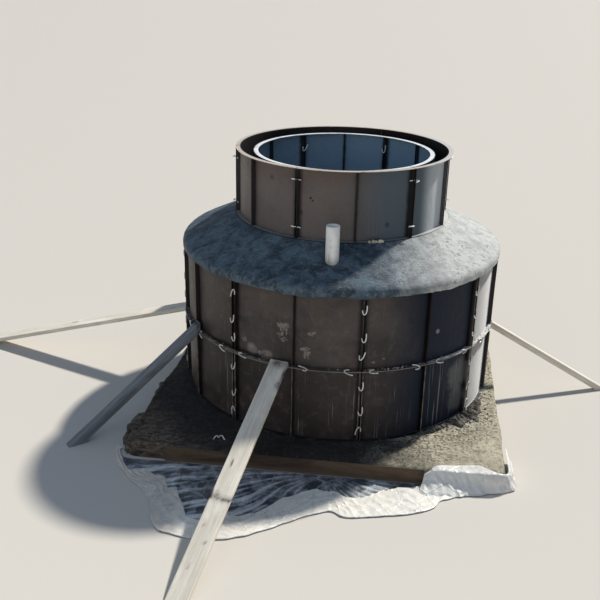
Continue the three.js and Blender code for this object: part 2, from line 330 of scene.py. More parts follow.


# Concrete: a dark damp tone with painted shade on the left and a pale dry one with painted sunlight towards the right,
# with grit and strokes of the float
def castConcrete(name, look):
    material, tree, surface = startMaterial(name, 0.85, 0.0, 0.35)
    space = spaceOf(tree)
    x, y, _ = splitXYZ(space)
    broad = noiseOf(space, look["patch"], 6, 0.62, 0.8)
    grit = noiseOf(space, 42.0, 9, 0.72)
    stones = cellsOf(space, look["stones"])
    both = broad * 0.45 + noiseOf(space, look["mottleSize"], 7, 0.68, 0.6) * 0.55
    # painted shade and sunlight: damp and shaded on the left, dry and sunlit towards the right
    drySunSide = (x + broad * 0.9).between(*look["drySunSideFrom"])
    colour = blend(*look["dampShadeSide"], both.between(0.4, 0.6))
    colour = colour.lay(blend(*look["drySunSide"], both.between(0.38, 0.58)), drySunSide)
    gritty = grit.between(*look["gritFrom"], 0.0, look["gritShare"])
    holes = noiseOf(spaceOf(tree, shift=(9, 2, 5)), look["holeSize"], 5, 0.6).between(0.56, 0.63, 0.0, look["holes"])
    holes = holes * broad.between(0.38, 0.56)
    if "rim" in look:  # an earthy rim far from the axis, with finer grit
        radius = vectorCalc("LENGTH", joinXYZ(tree, x, y), (0, 0, 0), "Value")
        fibres = noiseOf(spaceOf(tree, (3, 6, 9)), 2.2, 8, 0.74, 1.6).between(0.4, 0.62)
        colour = colour.lay(blend(*look["rim"], fibres), (radius + both * 0.9).between(*look["rimFrom"]) * (1.0 - drySunSide))
        coarse = (radius + broad * 0.6).between(*look["coarseWithin"], 1.0, 0.3)
        gritty, holes = gritty * coarse, holes * coarse
    strokes = noiseOf(spaceOf(tree, (9, 34, 9)), 1.6, 5, 0.62, 1.4)
    sand = noiseOf(spaceOf(tree, shift=(3, 1, 2)), 48.0, 8, 0.8)
    colour = colour.lay(look["scum"], strokes.between(0.5, 0.72, 0.0, look["strokes"]))
    colour = colour.lay(look["grit"], gritty)
    colour = colour.lay(look["stone"], stones.between(0.0, 0.2, look["stoneShare"], 0.0))
    colour = colour.lay(look["sand"], sand.between(0.61, 0.66, 0.0, look["sandShare"]))
    feed(surface["Base Color"], colour.lay(look["grit"], holes))
    feed(surface["Roughness"], broad.between(0.3, 0.65, *look["gloss"]))
    feed(surface["Normal"], bumpOf(stones, 0.25, 0.003, bumpOf(grit * 1.2 + strokes * 0.8, look["bump"], 0.008)))
    return material


# Sawn timber: grain along the piece's own length, dust, dark stains and small knots; a band can also carry painted
# shade
def sawnTimber(name, look):
    material, tree, surface = startMaterial(name, 0.85, 0.0, 0.3)

    def grained(scale):
        return spaceOf(tree, scale, own="grain")

    grain = noiseOf(grained((1.1, 26, 26)), 1.6, 7, 0.6, 1.3)
    fibre = noiseOf(grained((5, 240, 240)), 1.0, 3, 0.6)
    patch = noiseOf(grained((1.8, 5, 5)), 1.2, 6, 0.65, 0.5)
    grime = noiseOf(grained((7, 16, 16)), 1.5, 9, 0.75)
    blotch = noiseOf(grained((9, 22, 22)), 1.3, 6, 0.7)
    colour = blend(look["dark"], look["light"], grain.between(0.36, 0.64))
    colour = colour.lay(look["dark"], fibre.between(0.45, 0.75, 0.0, 0.35))
    colour = colour.lay(look["dark"], blotch.between(0.52, 0.68, 0.0, 0.35))
    colour = colour.lay(look["dust"], patch.between(0.46, 0.66, 0.0, look["dusting"]))
    colour = colour.lay(look["stainAndShade"], grime.between(0.6, 0.7, 0.0, look["grime"]))
    colour = colour.lay(look["stainAndShade"], cellsOf(grained((2.2, 9, 9)), 1.0).between(0.05, 0.13, 0.75, 0.0))
    colour = colour.lay(look["stainAndShade"], readValue(tree, "stainAndShade") * grime.between(0.38, 0.55, 0.45, 1.0))
    feed(surface["Base Color"], colour)
    feed(surface["Roughness"], patch.between(0.3, 0.7, 0.7, 0.95))
    feed(surface["Normal"], bumpOf(grain + fibre * 0.5, 0.25, 0.002))
    return material


def spottedSurface(name, look):  # mortar, rusty strip, wire and pipe: two tones, spots and grain
    material, tree, surface = startMaterial(name, look["gloss"][1], look.get("metallic", 0.0), 0.4)
    broad = noiseOf(spaceOf(tree, look.get("stretch", (1, 1, 1))), look["patch"], 7, 0.65, 0.5)
    fine = noiseOf(spaceOf(tree), look["fine"], 6, 0.7)
    colour = blend(look["dark"], look["light"], broad.between(0.38, 0.62))
    colour = colour.lay(look["spot"], fine.between(0.56, 0.7, 0.0, look["spotShare"]))
    if "dirt" in look:
        height = splitXYZ(spaceOf(tree))[2]
        colour = colour.lay(look["dirt"], (height + broad * look["ragged"]).between(*look["dirtFrom"], 0.9, 0.0))
    feed(surface["Base Color"], colour)
    feed(surface["Roughness"], fine.between(0.35, 0.65, *look["gloss"]))
    feed(surface["Normal"], bumpOf(broad + fine * 0.6, look["bump"], 0.004))
    return material


# Polythene film: milky, thin, with fine crumples; the doubled hem is whiter; painted highlights on fold crests, creases
# and raised film, painted shade in the fold valleys
def polytheneFilm(name, look):
    material, tree, surface = startMaterial(name, 0.3)
    space = spaceOf(tree)
    layers, crest = readValue(tree, "doubled"), readValue(tree, "crest")
    crumple = noiseOf(space, 16.0, 8, 0.65, 1.6)
    broad = noiseOf(space, 3.0, 5, 0.6, 0.5)
    dirt = noiseOf(space, 9.0, 9, 0.72)
    # painted light on the folds: crests pale, valleys in painted shade
    fold = blend(look["shadedValley"], look["single"], crest.between(0.1, 0.62))
    drift = vectorCalc("ADD", noiseOf(space, 3.0, 3.0, 0.5, 0.0, 1), (-0.5, -0.5, -0.5))
    creased = vectorCalc("ADD", space, vectorCalc("SCALE", drift, 0.12))
    crease = cellsOf(creased, 4.5, feature="DISTANCE_TO_EDGE").between(0.0, 0.05, 1.0, 0.0)
    crease = crease * layers.between(0.0, 1.0, 1.0, 0.3)
    # painted highlights along the creases
    colour = fold.lay(look["single"], crease * 0.3).lay(look["doubled"], layers)
    left = (splitXYZ(space)[0] + broad * 0.6).between(-1.15, -0.75, 0.55, 0.0)
    raised = layers.most(crest.between(0.1, 0.62, 0.2, 1.0))
    colour = colour.lay(look["earth"], left * layers)
    # painted glints on the raised film
    colour = colour.lay(look["glint"], crumple.between(0.5, 0.7, 0.0, 0.4) * raised)
    feed(surface["Base Color"], colour.lay(look["dirt"], dirt.between(0.54, 0.68, 0.0, look["dirtShare"])))
    cover = layers * 0.32 + broad.between(0.35, 0.65, *look["cover"]) + crumple.between(0.5, 0.65, 0.0, 0.16)
    feed(surface["Alpha"], calc("MINIMUM", cover, 0.98))
    feed(surface["Roughness"], broad.between(0.35, 0.65, 0.2, 0.42))
    coarse = bumpOf(cellsOf(space, 11.0), 0.35, 0.012)
    feed(surface["Normal"], bumpOf(crumple, 0.45, 0.01, bumpOf(crease, 0.6, 0.01, coarse)))
    return material


neckFace = 1.005  # the outside of the neck's plates
tankSteel = mouldSteel("oiledMouldSteel", {
    "dark": (0.03, 0.024, 0.023), "light": (0.078, 0.062, 0.056), "warm": (0.085, 0.06, 0.048),
    "cool": (0.009, 0.018, 0.034), "coolFrom": (0.5, 1.1), "oilAndShade": (0.006, 0.004, 0.004), "seamOilAndShade": 0.92, "mottle": 0.3,
    "low": (0.022, 0.016, 0.015), "lowFrom": (0.885, 0.905), "lowShare": 0.55,
    "high": (0.05, 0.04, 0.036), "highFrom": (1.5, 1.7), "highShare": 0.3, "dust": (0.2, 0.185, 0.175), "dusting": 0.3,
    "rust": (0.04, 0.022, 0.015), "tip": (0.25, 0.21, 0.18), "bareFrom": (0.89, 0.91), "rusting": 0.3,
    "cement": (0.42, 0.41, 0.38), "runs": 0.55, "runsFrom": (0.9, 1.2), "specks": 0.55, "gloss": (0.42, 0.66),
    "smudges": (
        (polar(tank["radius"], -29.5, 0.93), 0.07, (0.3, 0.27, 0.24), 0.5),
        (polar(tank["radius"], -24.0, 0.89), 0.08, (0.33, 0.27, 0.23), 0.55),
        (polar(tank["radius"], 36.0, 1.13), 0.03, (0.3, 0.28, 0.26), 0.7),
        # pale grey patches low down at 49 degrees
        (polar(tank["radius"], 49.0, 0.6), 0.2, (0.16, 0.16, 0.16), 0.6),
        (polar(tank["radius"], 49.0, 0.35), 0.16, (0.14, 0.14, 0.14), 0.5),
    ),
    "ledge": (0.66, 0.64, 0.6), "ledgeLeft": 0.05,
    "rims": ((0.8435, 0.851, (0.27, 0.24, 0.21)), (0.14, 0.158, (0.008, 0.007, 0.007))),
    "haze": 0.7, "hazeFrom": (1.215, 1.24), "paintedSunGlowTone": (0.34, 0.35, 0.34), "paintedSunGlowShare": 0.85,
})
neckSteel = mouldSteel("neckMouldSteel", {
    "dark": (0.085, 0.073, 0.071), "light": (0.135, 0.118, 0.115), "warm": (0.135, 0.11, 0.1),
    "cool": (0.085, 0.115, 0.14), "coolFrom": (0.25, 0.75), "oilAndShade": (0.014, 0.012, 0.012), "seamOilAndShade": 0.85, "mottle": 0.16,
    "low": (0.07, 0.06, 0.055), "lowFrom": (1.9, 1.95), "lowShare": 0.5,
    "high": (0.085, 0.055, 0.04), "highFrom": (2.48, 2.66), "highShare": 0.55, "dust": (0.24, 0.225, 0.21), "dusting": 0.16,
    "rust": (0.03, 0.022, 0.018), "tip": (0.03, 0.024, 0.02), "bareFrom": (0.0, 0.1), "rusting": 0.12,
    "cement": (0.5, 0.48, 0.46), "runs": 0.1, "runsFrom": (2.1, 2.5), "specks": 0.2, "gloss": (0.4, 0.6),
    "smudges": (
        (polar(neckFace, -38.9, 2.365), 0.028, (0.02, 0.018, 0.018), 0.6),
        (polar(neckFace, -15.9, 2.235), 0.018, (0.008, 0.008, 0.008), 0.95),
        (polar(neckFace, -14.8, 2.215), 0.014, (0.008, 0.008, 0.008), 0.95),
        (polar(neckFace, -21.5, 2.1), 0.035, (0.016, 0.014, 0.014), 0.7),
        (polar(neckFace, 24.0, 2.0), 0.03, (0.03, 0.03, 0.03), 0.6),
    ),
    "ledge": (0.58, 0.56, 0.52), "ledgeLeft": 0.35, "rims": ((2.4925, 2.51, (0.5, 0.44, 0.39)),),
    "haze": 1.0, "hazeFrom": (0.69, 0.8), "paintedSunGlowTone": (0.55, 0.62, 0.66), "paintedSunGlowShare": 0.85,
})
coreSteel = mouldSteel("coreMouldSteel", {
    "dark": (0.17, 0.26, 0.36), "light": (0.27, 0.38, 0.48), "warm": (0.22, 0.3, 0.37),
    "cool": (0.2, 0.31, 0.42), "coolFrom": (-0.6, 0.8), "oilAndShade": (0.006, 0.007, 0.008), "seamOilAndShade": 0.9, "mottle": 0.2,
    "low": (0.05, 0.06, 0.07), "lowFrom": (1.9, 2.0), "lowShare": 0.4,
    "high": (0.08, 0.11, 0.13), "highFrom": (2.48, 2.66), "highShare": 0.3, "dust": (0.22, 0.25, 0.27), "dusting": 0.2,
    "rust": (0.015, 0.014, 0.014), "tip": (0.015, 0.014, 0.014), "bareFrom": (0.0, 0.1), "rusting": 0.1,
    "cement": (0.5, 0.5, 0.48), "runs": 0.1, "runsFrom": (2.1, 2.5), "specks": 0.2, "gloss": (0.36, 0.58),
    "smudges": (), "ledge": (0.6, 0.6, 0.58), "ledgeLeft": 0.4, "rims": ((2.4515, 2.48, (0.76, 0.78, 0.77)),),
    "haze": 0.06, "hazeFrom": (5.0, 6.0), "paintedSunGlowTone": (0.3, 0.33, 0.35), "paintedSunGlowShare": 0.0,
})
domeConcrete = castConcrete("floatedConcrete", {
    "patch": 3.2, "mottleSize": 9.0, "stones": 60.0, "drySunSideFrom": (0.75, 1.5), "gritFrom": (0.54, 0.7),
    "dampShadeSide": ((0.018, 0.036, 0.052), (0.1, 0.15, 0.19)), "drySunSide": ((0.34, 0.355, 0.35), (0.56, 0.575, 0.56)),
    "strokes": 0.4, "scum": (0.3, 0.34, 0.37), "gritShare": 0.6, "grit": (0.03, 0.04, 0.05),
    "sandShare": 0.3, "sand": (0.42, 0.45, 0.46), "stoneShare": 0.25, "stone": (0.08, 0.09, 0.1),
    "holeSize": 26.0, "holes": 0.5, "gloss": (0.5, 0.85), "bump": 0.75,
})
slabConcrete = castConcrete("roughSlabConcrete", {
    "patch": 1.7, "mottleSize": 14.0, "stones": 30.0, "drySunSideFrom": (0.75, 1.35), "gritFrom": (0.49, 0.56),
    "rimFrom": (2.3, 2.85), "rim": ((0.05, 0.038, 0.028), (0.22, 0.175, 0.13)), "coarseWithin": (1.95, 2.6),
    "dampShadeSide": ((0.012, 0.009, 0.008), (0.048, 0.038, 0.034)), "drySunSide": ((0.26, 0.24, 0.17), (0.5, 0.46, 0.35)),
    "strokes": 0.12, "scum": (0.14, 0.13, 0.115), "gritShare": 0.85, "grit": (0.016, 0.015, 0.014),
    "sandShare": 0.75, "sand": (0.34, 0.31, 0.27), "stoneShare": 0.75, "stone": (0.05, 0.046, 0.04),
    "holeSize": 22.0, "holes": 0.85, "gloss": (0.6, 0.95), "bump": 1.0,
})
wallConcrete = castConcrete("castWallConcrete", {
    "patch": 1.3, "mottleSize": 6.0, "stones": 70.0, "drySunSideFrom": (-3.0, -2.0), "gritFrom": (0.56, 0.72),
    "dampShadeSide": ((0.2, 0.2, 0.19), (0.28, 0.28, 0.27)), "drySunSide": ((0.25, 0.25, 0.24), (0.36, 0.355, 0.34)),
    "strokes": 0.15, "scum": (0.4, 0.4, 0.38), "gritShare": 0.3, "grit": (0.14, 0.14, 0.135),
    "sandShare": 0.1, "sand": (0.4, 0.4, 0.38), "stoneShare": 0.1, "stone": (0.16, 0.16, 0.15),
    "holeSize": 30.0, "holes": 0.3, "gloss": (0.6, 0.9), "bump": 0.3,
})
paleTimber = sawnTimber("weatheredPlank", {
    "dark": (0.61, 0.56, 0.47), "light": (0.75, 0.7, 0.6), "dust": (0.84, 0.8, 0.7), "dusting": 0.7,
    "stainAndShade": (0.06, 0.05, 0.045), "grime": 0.4,
})
greyTimber = sawnTimber("greyProp", {
    "dark": (0.13, 0.144, 0.16), "light": (0.215, 0.235, 0.26), "dust": (0.285, 0.31, 0.34), "dusting": 0.5,
    "stainAndShade": (0.04, 0.04, 0.04), "grime": 0.5,
})


def mortarOf(name, tones, patch, fine, spotShare, gloss, bump):  # tones are dark, light and spots
    look = dict(zip(("dark", "light", "spot"), tones), patch=patch, fine=fine, spotShare=spotShare, gloss=gloss, bump=bump)
    return spottedSurface(name, look)


lumpTones = (0.2, 0.19, 0.17), (0.42, 0.4, 0.36), (0.12, 0.11, 0.1)
dampTones = (0.02, 0.018, 0.016), (0.13, 0.12, 0.1), (0.55, 0.52, 0.44)
paleTones = (0.45, 0.41, 0.3), (0.8, 0.75, 0.6), (0.3, 0.27, 0.2)
sunlitLimeTones = (0.36, 0.36, 0.35), (0.7, 0.7, 0.69), (0.16, 0.15, 0.14)
greyTones = (0.06, 0.055, 0.052), (0.24, 0.225, 0.21), (0.04, 0.035, 0.032)
sandyTones = (0.05, 0.042, 0.034), (0.17, 0.145, 0.115), (0.3, 0.27, 0.22)
splashTones = (0.1, 0.088, 0.078), (0.25, 0.225, 0.2), (0.1, 0.09, 0.08)
mortar = mortarOf("mortarLumps", lumpTones, 12.0, 120.0, 0.5, (0.8, 0.97), 0.6)
darkMortar = mortarOf("dampMortarLumps", dampTones, 22.0, 70.0, 0.75, (0.7, 0.95), 0.7)
paleMortar = mortarOf("paleMortarBits", paleTones, 12.0, 120.0, 0.3, (0.8, 0.97), 0.5)
# lime-white mortar for the right of the ledge, paler still with painted sunlight
sunlitLimeMortar = mortarOf("limeWhiteSunlitLedgeMortar", sunlitLimeTones, 14.0, 110.0, 0.5, (0.8, 0.97), 0.6)
greyMortar = mortarOf("greyLedgeMortar", greyTones, 16.0, 110.0, 0.6, (0.75, 0.95), 0.7)
sandyMortar = mortarOf("sandyEdgeMortar", sandyTones, 7.0, 80.0, 0.3, (0.8, 0.97), 0.8)
splashCement = mortarOf("driedCementSplash", splashTones, 30.0, 150.0, 0.4, (0.8, 0.95), 0.4)
rustyStrip = spottedSurface("rustedFormSteel", {
    "dark": (0.055, 0.036, 0.026), "light": (0.125, 0.085, 0.055), "patch": 2.6, "stretch": (0.7, 0.7, 3.0), "fine": 60.0,
    "spot": (0.14, 0.11, 0.075), "spotShare": 0.4, "metallic": 0.1, "gloss": (0.6, 0.9), "bump": 0.35,
    "dirt": (0.17, 0.13, 0.09), "dirtFrom": (0.03, 0.07), "ragged": 0.06,
})
pinWire = spottedSurface("bentPinWire", {
    "dark": (0.5, 0.48, 0.45), "light": (0.85, 0.83, 0.8), "patch": 14.0, "fine": 90.0, "spot": (0.2, 0.13, 0.08),
    "spotShare": 0.5, "metallic": 0.15, "gloss": (0.35, 0.65), "bump": 0.2,
})
pipePlastic = spottedSurface("dustyPipe", {
    "dark": (0.72, 0.72, 0.7), "light": (0.9, 0.9, 0.87), "patch": 6.0, "stretch": (2, 2, 0.6), "fine": 45.0,
    "spot": (0.22, 0.21, 0.19), "spotShare": 0.45, "gloss": (0.3, 0.6), "bump": 0.12,
    "dirt": (0.16, 0.15, 0.14), "dirtFrom": (1.78, 1.92), "ragged": 0.14,
})
film = polytheneFilm("groundFilm", {
    "single": (0.68, 0.73, 0.77), "shadedValley": (0.04, 0.052, 0.068), "doubled": (0.78, 0.75, 0.68), "earth": (0.5, 0.41, 0.33),
    "glint": (0.9, 0.92, 0.94), "dirt": (0.3, 0.25, 0.19), "dirtShare": 0.3, "cover": (0.6, 0.86),
})
print("materials made")


# Geometry Nodes
def startTree(name, inputs):
    tree = bpy.data.node_groups.new(name, "GeometryNodeTree")
    for way in ("INPUT", "OUTPUT"):
        tree.interface.new_socket("Geometry", in_out=way, socket_type="NodeSocketGeometry")
    for label, kind in inputs.items():
        tree.interface.new_socket(label, in_out="INPUT", socket_type="NodeSocket" + kind)
    given = {socket.name: Thread(socket) for socket in tree.nodes.new("NodeGroupInput").outputs if socket.name}
    return tree, given, tree.nodes.new("NodeGroupOutput").inputs[0]


def endTree(tree, shape, steel, result):
    feed(result, node(tree, "GeometryNodeSetMaterial", {"Geometry": shape, "Material": steel}))
    return tree


def grow(piece, tree, values, sharpOver=35):
    modifier = piece.modifiers.new(tree.name, "NODES")
    modifier.node_group = tree
    for item in tree.interface.items_tree:
        if item.item_type == "SOCKET" and item.in_out == "INPUT" and item.name in values:
            modifier[item.identifier] = values[item.name]
    bake(piece, modifier)
    piece.data.name = piece.name
    piece.data.shade_smooth()
    piece.data.set_sharp_from_angle(angle=math.radians(sharpOver))
    return piece


def bake(piece, modifier):  # turns what the modifier makes into the piece's own mesh
    graph = bpy.context.evaluated_depsgraph_get()
    made = bpy.data.meshes.new_from_object(piece.evaluated_get(graph), preserve_all_data_layers=True, depsgraph=graph)
    piece.modifiers.remove(modifier)
    before, piece.data = piece.data, made
    bpy.data.meshes.remove(before)


# One ring of mould panels: each is a curved plate with four flanges and a rib, made flat and bent round
def mouldRingTree():
    floats = ("Radius", "Side", "Seam", "Gap", "Foot", "Height", "Plate", "Flange", "Edge", "Inset", "Open", "Waver", "Ragged")
    counts = ("Panels", "Columns", "Rows", "Seed")
    tree, given, result = startTree(
        "mouldRing", {**{label: "Float" for label in floats}, **{label: "Int" for label in counts}, "Steel": "Material"}
    )
    radius, side, seam, gap, foot, tall, thick = (given[label] for label in floats[:7])
    flange, edge, inset, opening, waver, raggedness = (given[label] for label in floats[7:])
    panels, columns, rowCount, seed = (given[label] for label in counts)
    step = math.tau / panels
    half = step / 2.0 - gap / (radius * 2.0)
    depth = flange + thick / 2.0
    middle = side * ((depth + thick) / -2.0)
    edgeAngle = edge / radius
    upright = tall - edge * 2.0

    def bar(size, count, centre):
        inputs = {"Size": joinXYZ(tree, *size), "Vertices X": count[0], "Vertices Y": count[1], "Vertices Z": count[2]}
        box = node(tree, "GeometryNodeMeshCube", inputs)
        return node(tree, "GeometryNodeTransform", {"Geometry": box, "Translation": joinXYZ(tree, *centre)})

    wide = half * 2.0
    halfHeight = tall / 2.0
    bars = [bar((wide, thick, tall), (columns, 2, rowCount), (0.0, thick * -0.5 * side, halfHeight))]
    for level in (edge / 2.0, tall - edge / 2.0):
        bars.append(bar((wide - edgeAngle * 0.2, depth, edge), (columns, 3, 2), (0.0, middle, level)))
    reachIn = half - edgeAngle * 0.55 - inset / radius
    for centre in (reachIn * -1.0, 0.0, reachIn):
        bars.append(bar((edgeAngle, depth - edge * 0.2, upright), (2, 3, rowCount), (centre, middle, halfHeight)))
    panel = tree.nodes.new("GeometryNodeJoinGeometry")
    for one in bars:
        feed(panel.inputs[0], one)
    row = node(tree, "GeometryNodeMeshLine", {"Count": panels, "Offset": joinXYZ(tree, step)})
    spread = node(tree, "GeometryNodeInstanceOnPoints", {"Points": row, "Instance": Thread(panel.outputs[0])})
    ring = node(tree, "GeometryNodeRealizeInstances", {"Geometry": spread})

    x, y, z = splitXYZ(node(tree, "GeometryNodeInputPosition"))
    index = calc("FLOOR", x / step + 0.5)
    out = y * side * -1.0 / flange
    reach = out.most(0.0)
    inPanel = calc("ABSOLUTE", x - index * step)
    values = {
        "panelTone": node(tree, "FunctionNodeRandomValue", {"ID": index, "Seed": seed}, 1, data_type="FLOAT"),
        "flangeReach": reach, "fromSeam": (half - inPanel) * radius, "fromRib": inPanel * radius,
        "castSide": calc("LESS_THAN", out, 0.02),
    }
    for label, value in values.items():
        inputs = {"Geometry": ring, "Name": label, "Value": value}
        ring = node(tree, "GeometryNodeStoreNamedAttribute", inputs, data_type="FLOAT")
    angle = x + seam + step / 2.0
    place = joinXYZ(tree, x * radius, index * 7.31 + seed, z)

    def wobble(scale, amount):
        return (node(tree, "ShaderNodeTexNoise", {"Vector": place, "Scale": scale, "Detail": 2.0}) - 0.5) * amount

    ragged = raggedness * 2.0 * reach
    radial = radius - y + wobble(1.7, waver * 2.0)
    turned = angle + wobble(6.0, ragged) / radius
    # the joint gapes a little at the front left
    atLeft = calc("ABSOLUTE", angle - math.tau + 0.6).between(0.12, 0.6, 1.0, 0.0)
    gape = atLeft * z.between(0.0, tall * 0.3, 1.0, 0.0) * opening
    level = z + foot + wobble(5.0, ragged * 0.35) + gape * calc("MINIMUM", reach, 1.0)
    bent = joinXYZ(tree, radial * calc("SINE", turned), radial * calc("COSINE", turned) * -1.0, level)
    moved = node(tree, "GeometryNodeSetPosition", {"Geometry": ring, "Position": bent})
    return endTree(tree, moved, given["Steel"], result)


ringTree = mouldRingTree()
tankRing = {
    "of": tank, "side": 1.0, "steel": tankSteel, "slot": "tank_mould_steel",
    "columns": 31, "rows": 15, "waver": 0.0035, "ragged": 0.004,
}
neckRing = {
    "side": 1.0, "columns": 41, "rows": 13, "waver": 0.003, "ragged": 0.003,
    "inset": 0.004, "open": 0.0, "foot": neck["foot"],
}
rings = {
    "lower_mould_ring": {
        **tankRing, "foot": tank["foot"], "top": tank["seam"], "nodes": "lower_mould", "seed": 3, "inset": 0.009, "open": 0.0,
    },
    "upper_mould_ring": {
        **tankRing, "foot": tank["seam"], "top": tank["top"], "nodes": "upper_mould", "seed": 8, "inset": 0.011, "open": 0.03,
    },
    "neck_mould_ring": {
        **neckRing, "of": neck, "top": neck["top"], "steel": neckSteel,
        "slot": "neck_mould_steel", "nodes": "neck_mould", "seed": 5,
    },
    "neck_core_ring": {
        **neckRing, "of": core, "top": core["top"], "side": -1.0, "steel": coreSteel,
        "slot": "core_mould_steel", "nodes": "neck_core", "seed": 11,
    },
}
ringKeys = ("side", "inset", "open", "columns", "rows", "waver", "ragged", "seed", "steel")
for name, ring in rings.items():
    circle = ring["of"]
    piece = newObject(name, [(0, 0, 0)], [])
    grow(piece, ringTree, {
        "Radius": circle["radius"], "Panels": circle["panels"], "Seam": math.radians(circle["seamAzimuth"]), "Gap": 0.005,
        "Foot": ring["foot"] + plate["gap"], "Height": ring["top"] - ring["foot"] - plate["gap"] - 0.001,
        "Plate": plate["thickness"], "Flange": plate["flange"], "Edge": plate["edge"],
        **{key.capitalize(): ring[key] for key in ringKeys},
    })
    settle(piece, ring["slot"], *(f"{ring['nodes']}_{i + 1}" for i in range(circle["panels"])))
print("mould rings bent round")


# The pins: a hook of bent wire, set on a point and turned by the point's own attribute
def pinTree():
    tree, given, result = startTree("wirePins", {"Wire": "Float", "Width": "Float", "Length": "Float", "Steel": "Material"})
    half, otherHalf = given["Width"] * 0.5, given["Width"] * -0.5
    bend = {
        "Start": (half, 0.52), "Start Handle": (half, -0.66),
        "End Handle": (otherHalf, -0.66), "End": (otherHalf, 0.06),
    }
    places = {key: joinXYZ(tree, across, given["Length"] * up) for key, (across, up) in bend.items()}
    line = node(tree, "GeometryNodeCurvePrimitiveBezierSegment", {"Resolution": 9, **places})
    loop = node(tree, "GeometryNodeCurvePrimitiveCircle", {"Resolution": 7, "Radius": given["Wire"]})
    wire = node(tree, "GeometryNodeCurveToMesh", {"Curve": line, "Profile Curve": loop, "Fill Caps": True})
    turn = node(tree, "GeometryNodeInputNamedAttribute", {"Name": "turn"}, data_type="FLOAT_VECTOR")
    turned = node(tree, "FunctionNodeEulerToRotation", {0: turn})
    pins = node(tree, "GeometryNodeInstanceOnPoints", {"Points": given["Geometry"], "Instance": wire, "Rotation": turned})
    return endTree(tree, node(tree, "GeometryNodeRealizeInstances", {"Geometry": pins}), given["Steel"], result)


def pinPoints(name, places):  # places are (radius, azimuth, height, roll, 1 outwards or -1 inwards, lean)
    piece = newObject(name, [polar(r, a, z) for r, a, z, *_ in places], [])
    turns = []
    for _, a, _, roll, side, lean in places:
        out = Vector(polar(side, a))
        basis = Matrix((Vector((0, 0, 1)).cross(out), Vector((0, 0, 1)), out)).transposed()
        spin = Matrix.Rotation(math.radians(roll), 3, "Z") @ Matrix.Rotation(math.radians(lean), 3, "Y")
        turns.append(tuple((basis @ spin).to_euler("XYZ")))
    addValues(piece, "turn", turns)
    return piece


pinLook = {
    "wire": 0.0056, "width": 0.042, "length": 0.084, "seed": 21, "over": 0.002, "perSeam": 4, "neckLean": 76,
    "tankHeights": (0.262, 0.446, 0.706, 0.993, 1.178, 1.419), "neckHeights": (1.965, 2.39), "coreHeights": (1.99, 2.33),
}
dice = random.Random(pinLook["seed"])
wireTree = pinTree()
flangeTip = plate["thickness"] + plate["flange"] + pinLook["over"]
pins = {"tank_pins": [], "neck_pins": [], "core_pins": []}
for k in range(tank["panels"]):
    radius, seam = tank["radius"] + flangeTip, tank["seamAzimuth"] + 360 / tank["panels"] * k
    for height in pinLook["tankHeights"]:
        azimuth, level = seam + dice.uniform(-0.3, 0.3), height + dice.uniform(-0.012, 0.012)
        pins["tank_pins"].append((radius, azimuth, level, dice.choice((0, 0, 180)) + dice.uniform(-14, 14), 1, 0))
    for j in range(pinLook["perSeam"]):
        azimuth = seam + 360 / tank["panels"] / pinLook["perSeam"] * (j + 0.5) + dice.uniform(-2, 2)
        level = tank["seam"] + dice.uniform(-0.002, 0.008)
        roll = dice.choice((90, 270)) + dice.uniform(-12, 12)
        pins["tank_pins"].append((radius, azimuth, level, roll, 1, dice.uniform(-20, 20)))
for k in range(neck["panels"]):
    for height in pinLook["neckHeights"]:
        azimuth = neck["seamAzimuth"] + 360 / neck["panels"] * k + dice.uniform(-0.3, 0.3)
        level = height + dice.uniform(-0.01, 0.01)
        roll = dice.choice((90, 270)) + dice.uniform(-7, 7)
        pins["neck_pins"].append((neck["radius"] + flangeTip, azimuth, level, roll, 1, pinLook["neckLean"]))
for k in range(core["panels"]):
    for height in pinLook["coreHeights"]:
        azimuth, level = core["seamAzimuth"] + 360 / core["panels"] * k, height + dice.uniform(-0.02, 0.02)
        pins["core_pins"].append((core["radius"] - flangeTip, azimuth, level, dice.uniform(-25, 25), -1, 0))
wireSizes = {key.capitalize(): pinLook[key] for key in ("wire", "width", "length")}
for name, places in pins.items():
    piece = pinPoints(name, places)
    grow(piece, wireTree, {**wireSizes, "Steel": pinWire}, 50)
    settle(piece, "rusty_steel")
loosePin = {
    "path": [(-1.068, -1.632, 0.157), (-1.056, -1.6, 0.165), (-1.04, -1.588, 0.17), (-1.026, -1.604, 0.163),
             (-1.012, -1.582, 0.167), (-0.992, -1.586, 0.168), (-0.978, -1.612, 0.161), (-0.966, -1.628, 0.157)],
    "count": 46, "around": 8,
}


def bentWire(name, path, radius, around):
    run = unitOf(np.gradient(path, axis=0))
    side = unitOf(np.cross(run, (0, 0, 1.0)))
    lift = np.cross(side, run)
    turn = np.linspace(0, 2 * math.pi, around, endpoint=False)
    circle = np.cos(turn)[None, :, None] * side[:, None] + np.sin(turn)[None, :, None] * lift[:, None]
    points = path[:, None] + radius * circle
    last = (len(path) - 1) * around
    faces = gridFaces(len(path), around, closed=True) + [tuple(range(around))[::-1], tuple(last + c for c in range(around))]
    return newObject(name, points, faces, pinWire, 60)


loosePath = smoothPath(loosePin["path"], loosePin["count"])
settle(bentWire("loose_pin", loosePath, pinLook["wire"], loosePin["around"]), "rusty_steel")
print("pins set:", sum(len(places) for places in pins.values()))


# The shoulder over the tank, floated by hand, with a lumpy lip over the top flange
dome = {
    "outside": [(1.566, 1.546), (1.568, 1.587), (1.552, 1.618), (1.52, 1.64), (1.44, 1.678),
                (1.34, 1.723), (1.23, 1.777), (1.12, 1.827), (1.06, 1.857)],
    "inside": [(0.78, 1.7), (1.0, 1.675), (1.25, 1.61), (1.37, 1.5503)], "under": [(1.45, 1.5503), (1.5645, 1.5503)],
    "around": 336, "rows": 46, "lump": 0.005, "drip": 0.016,
}


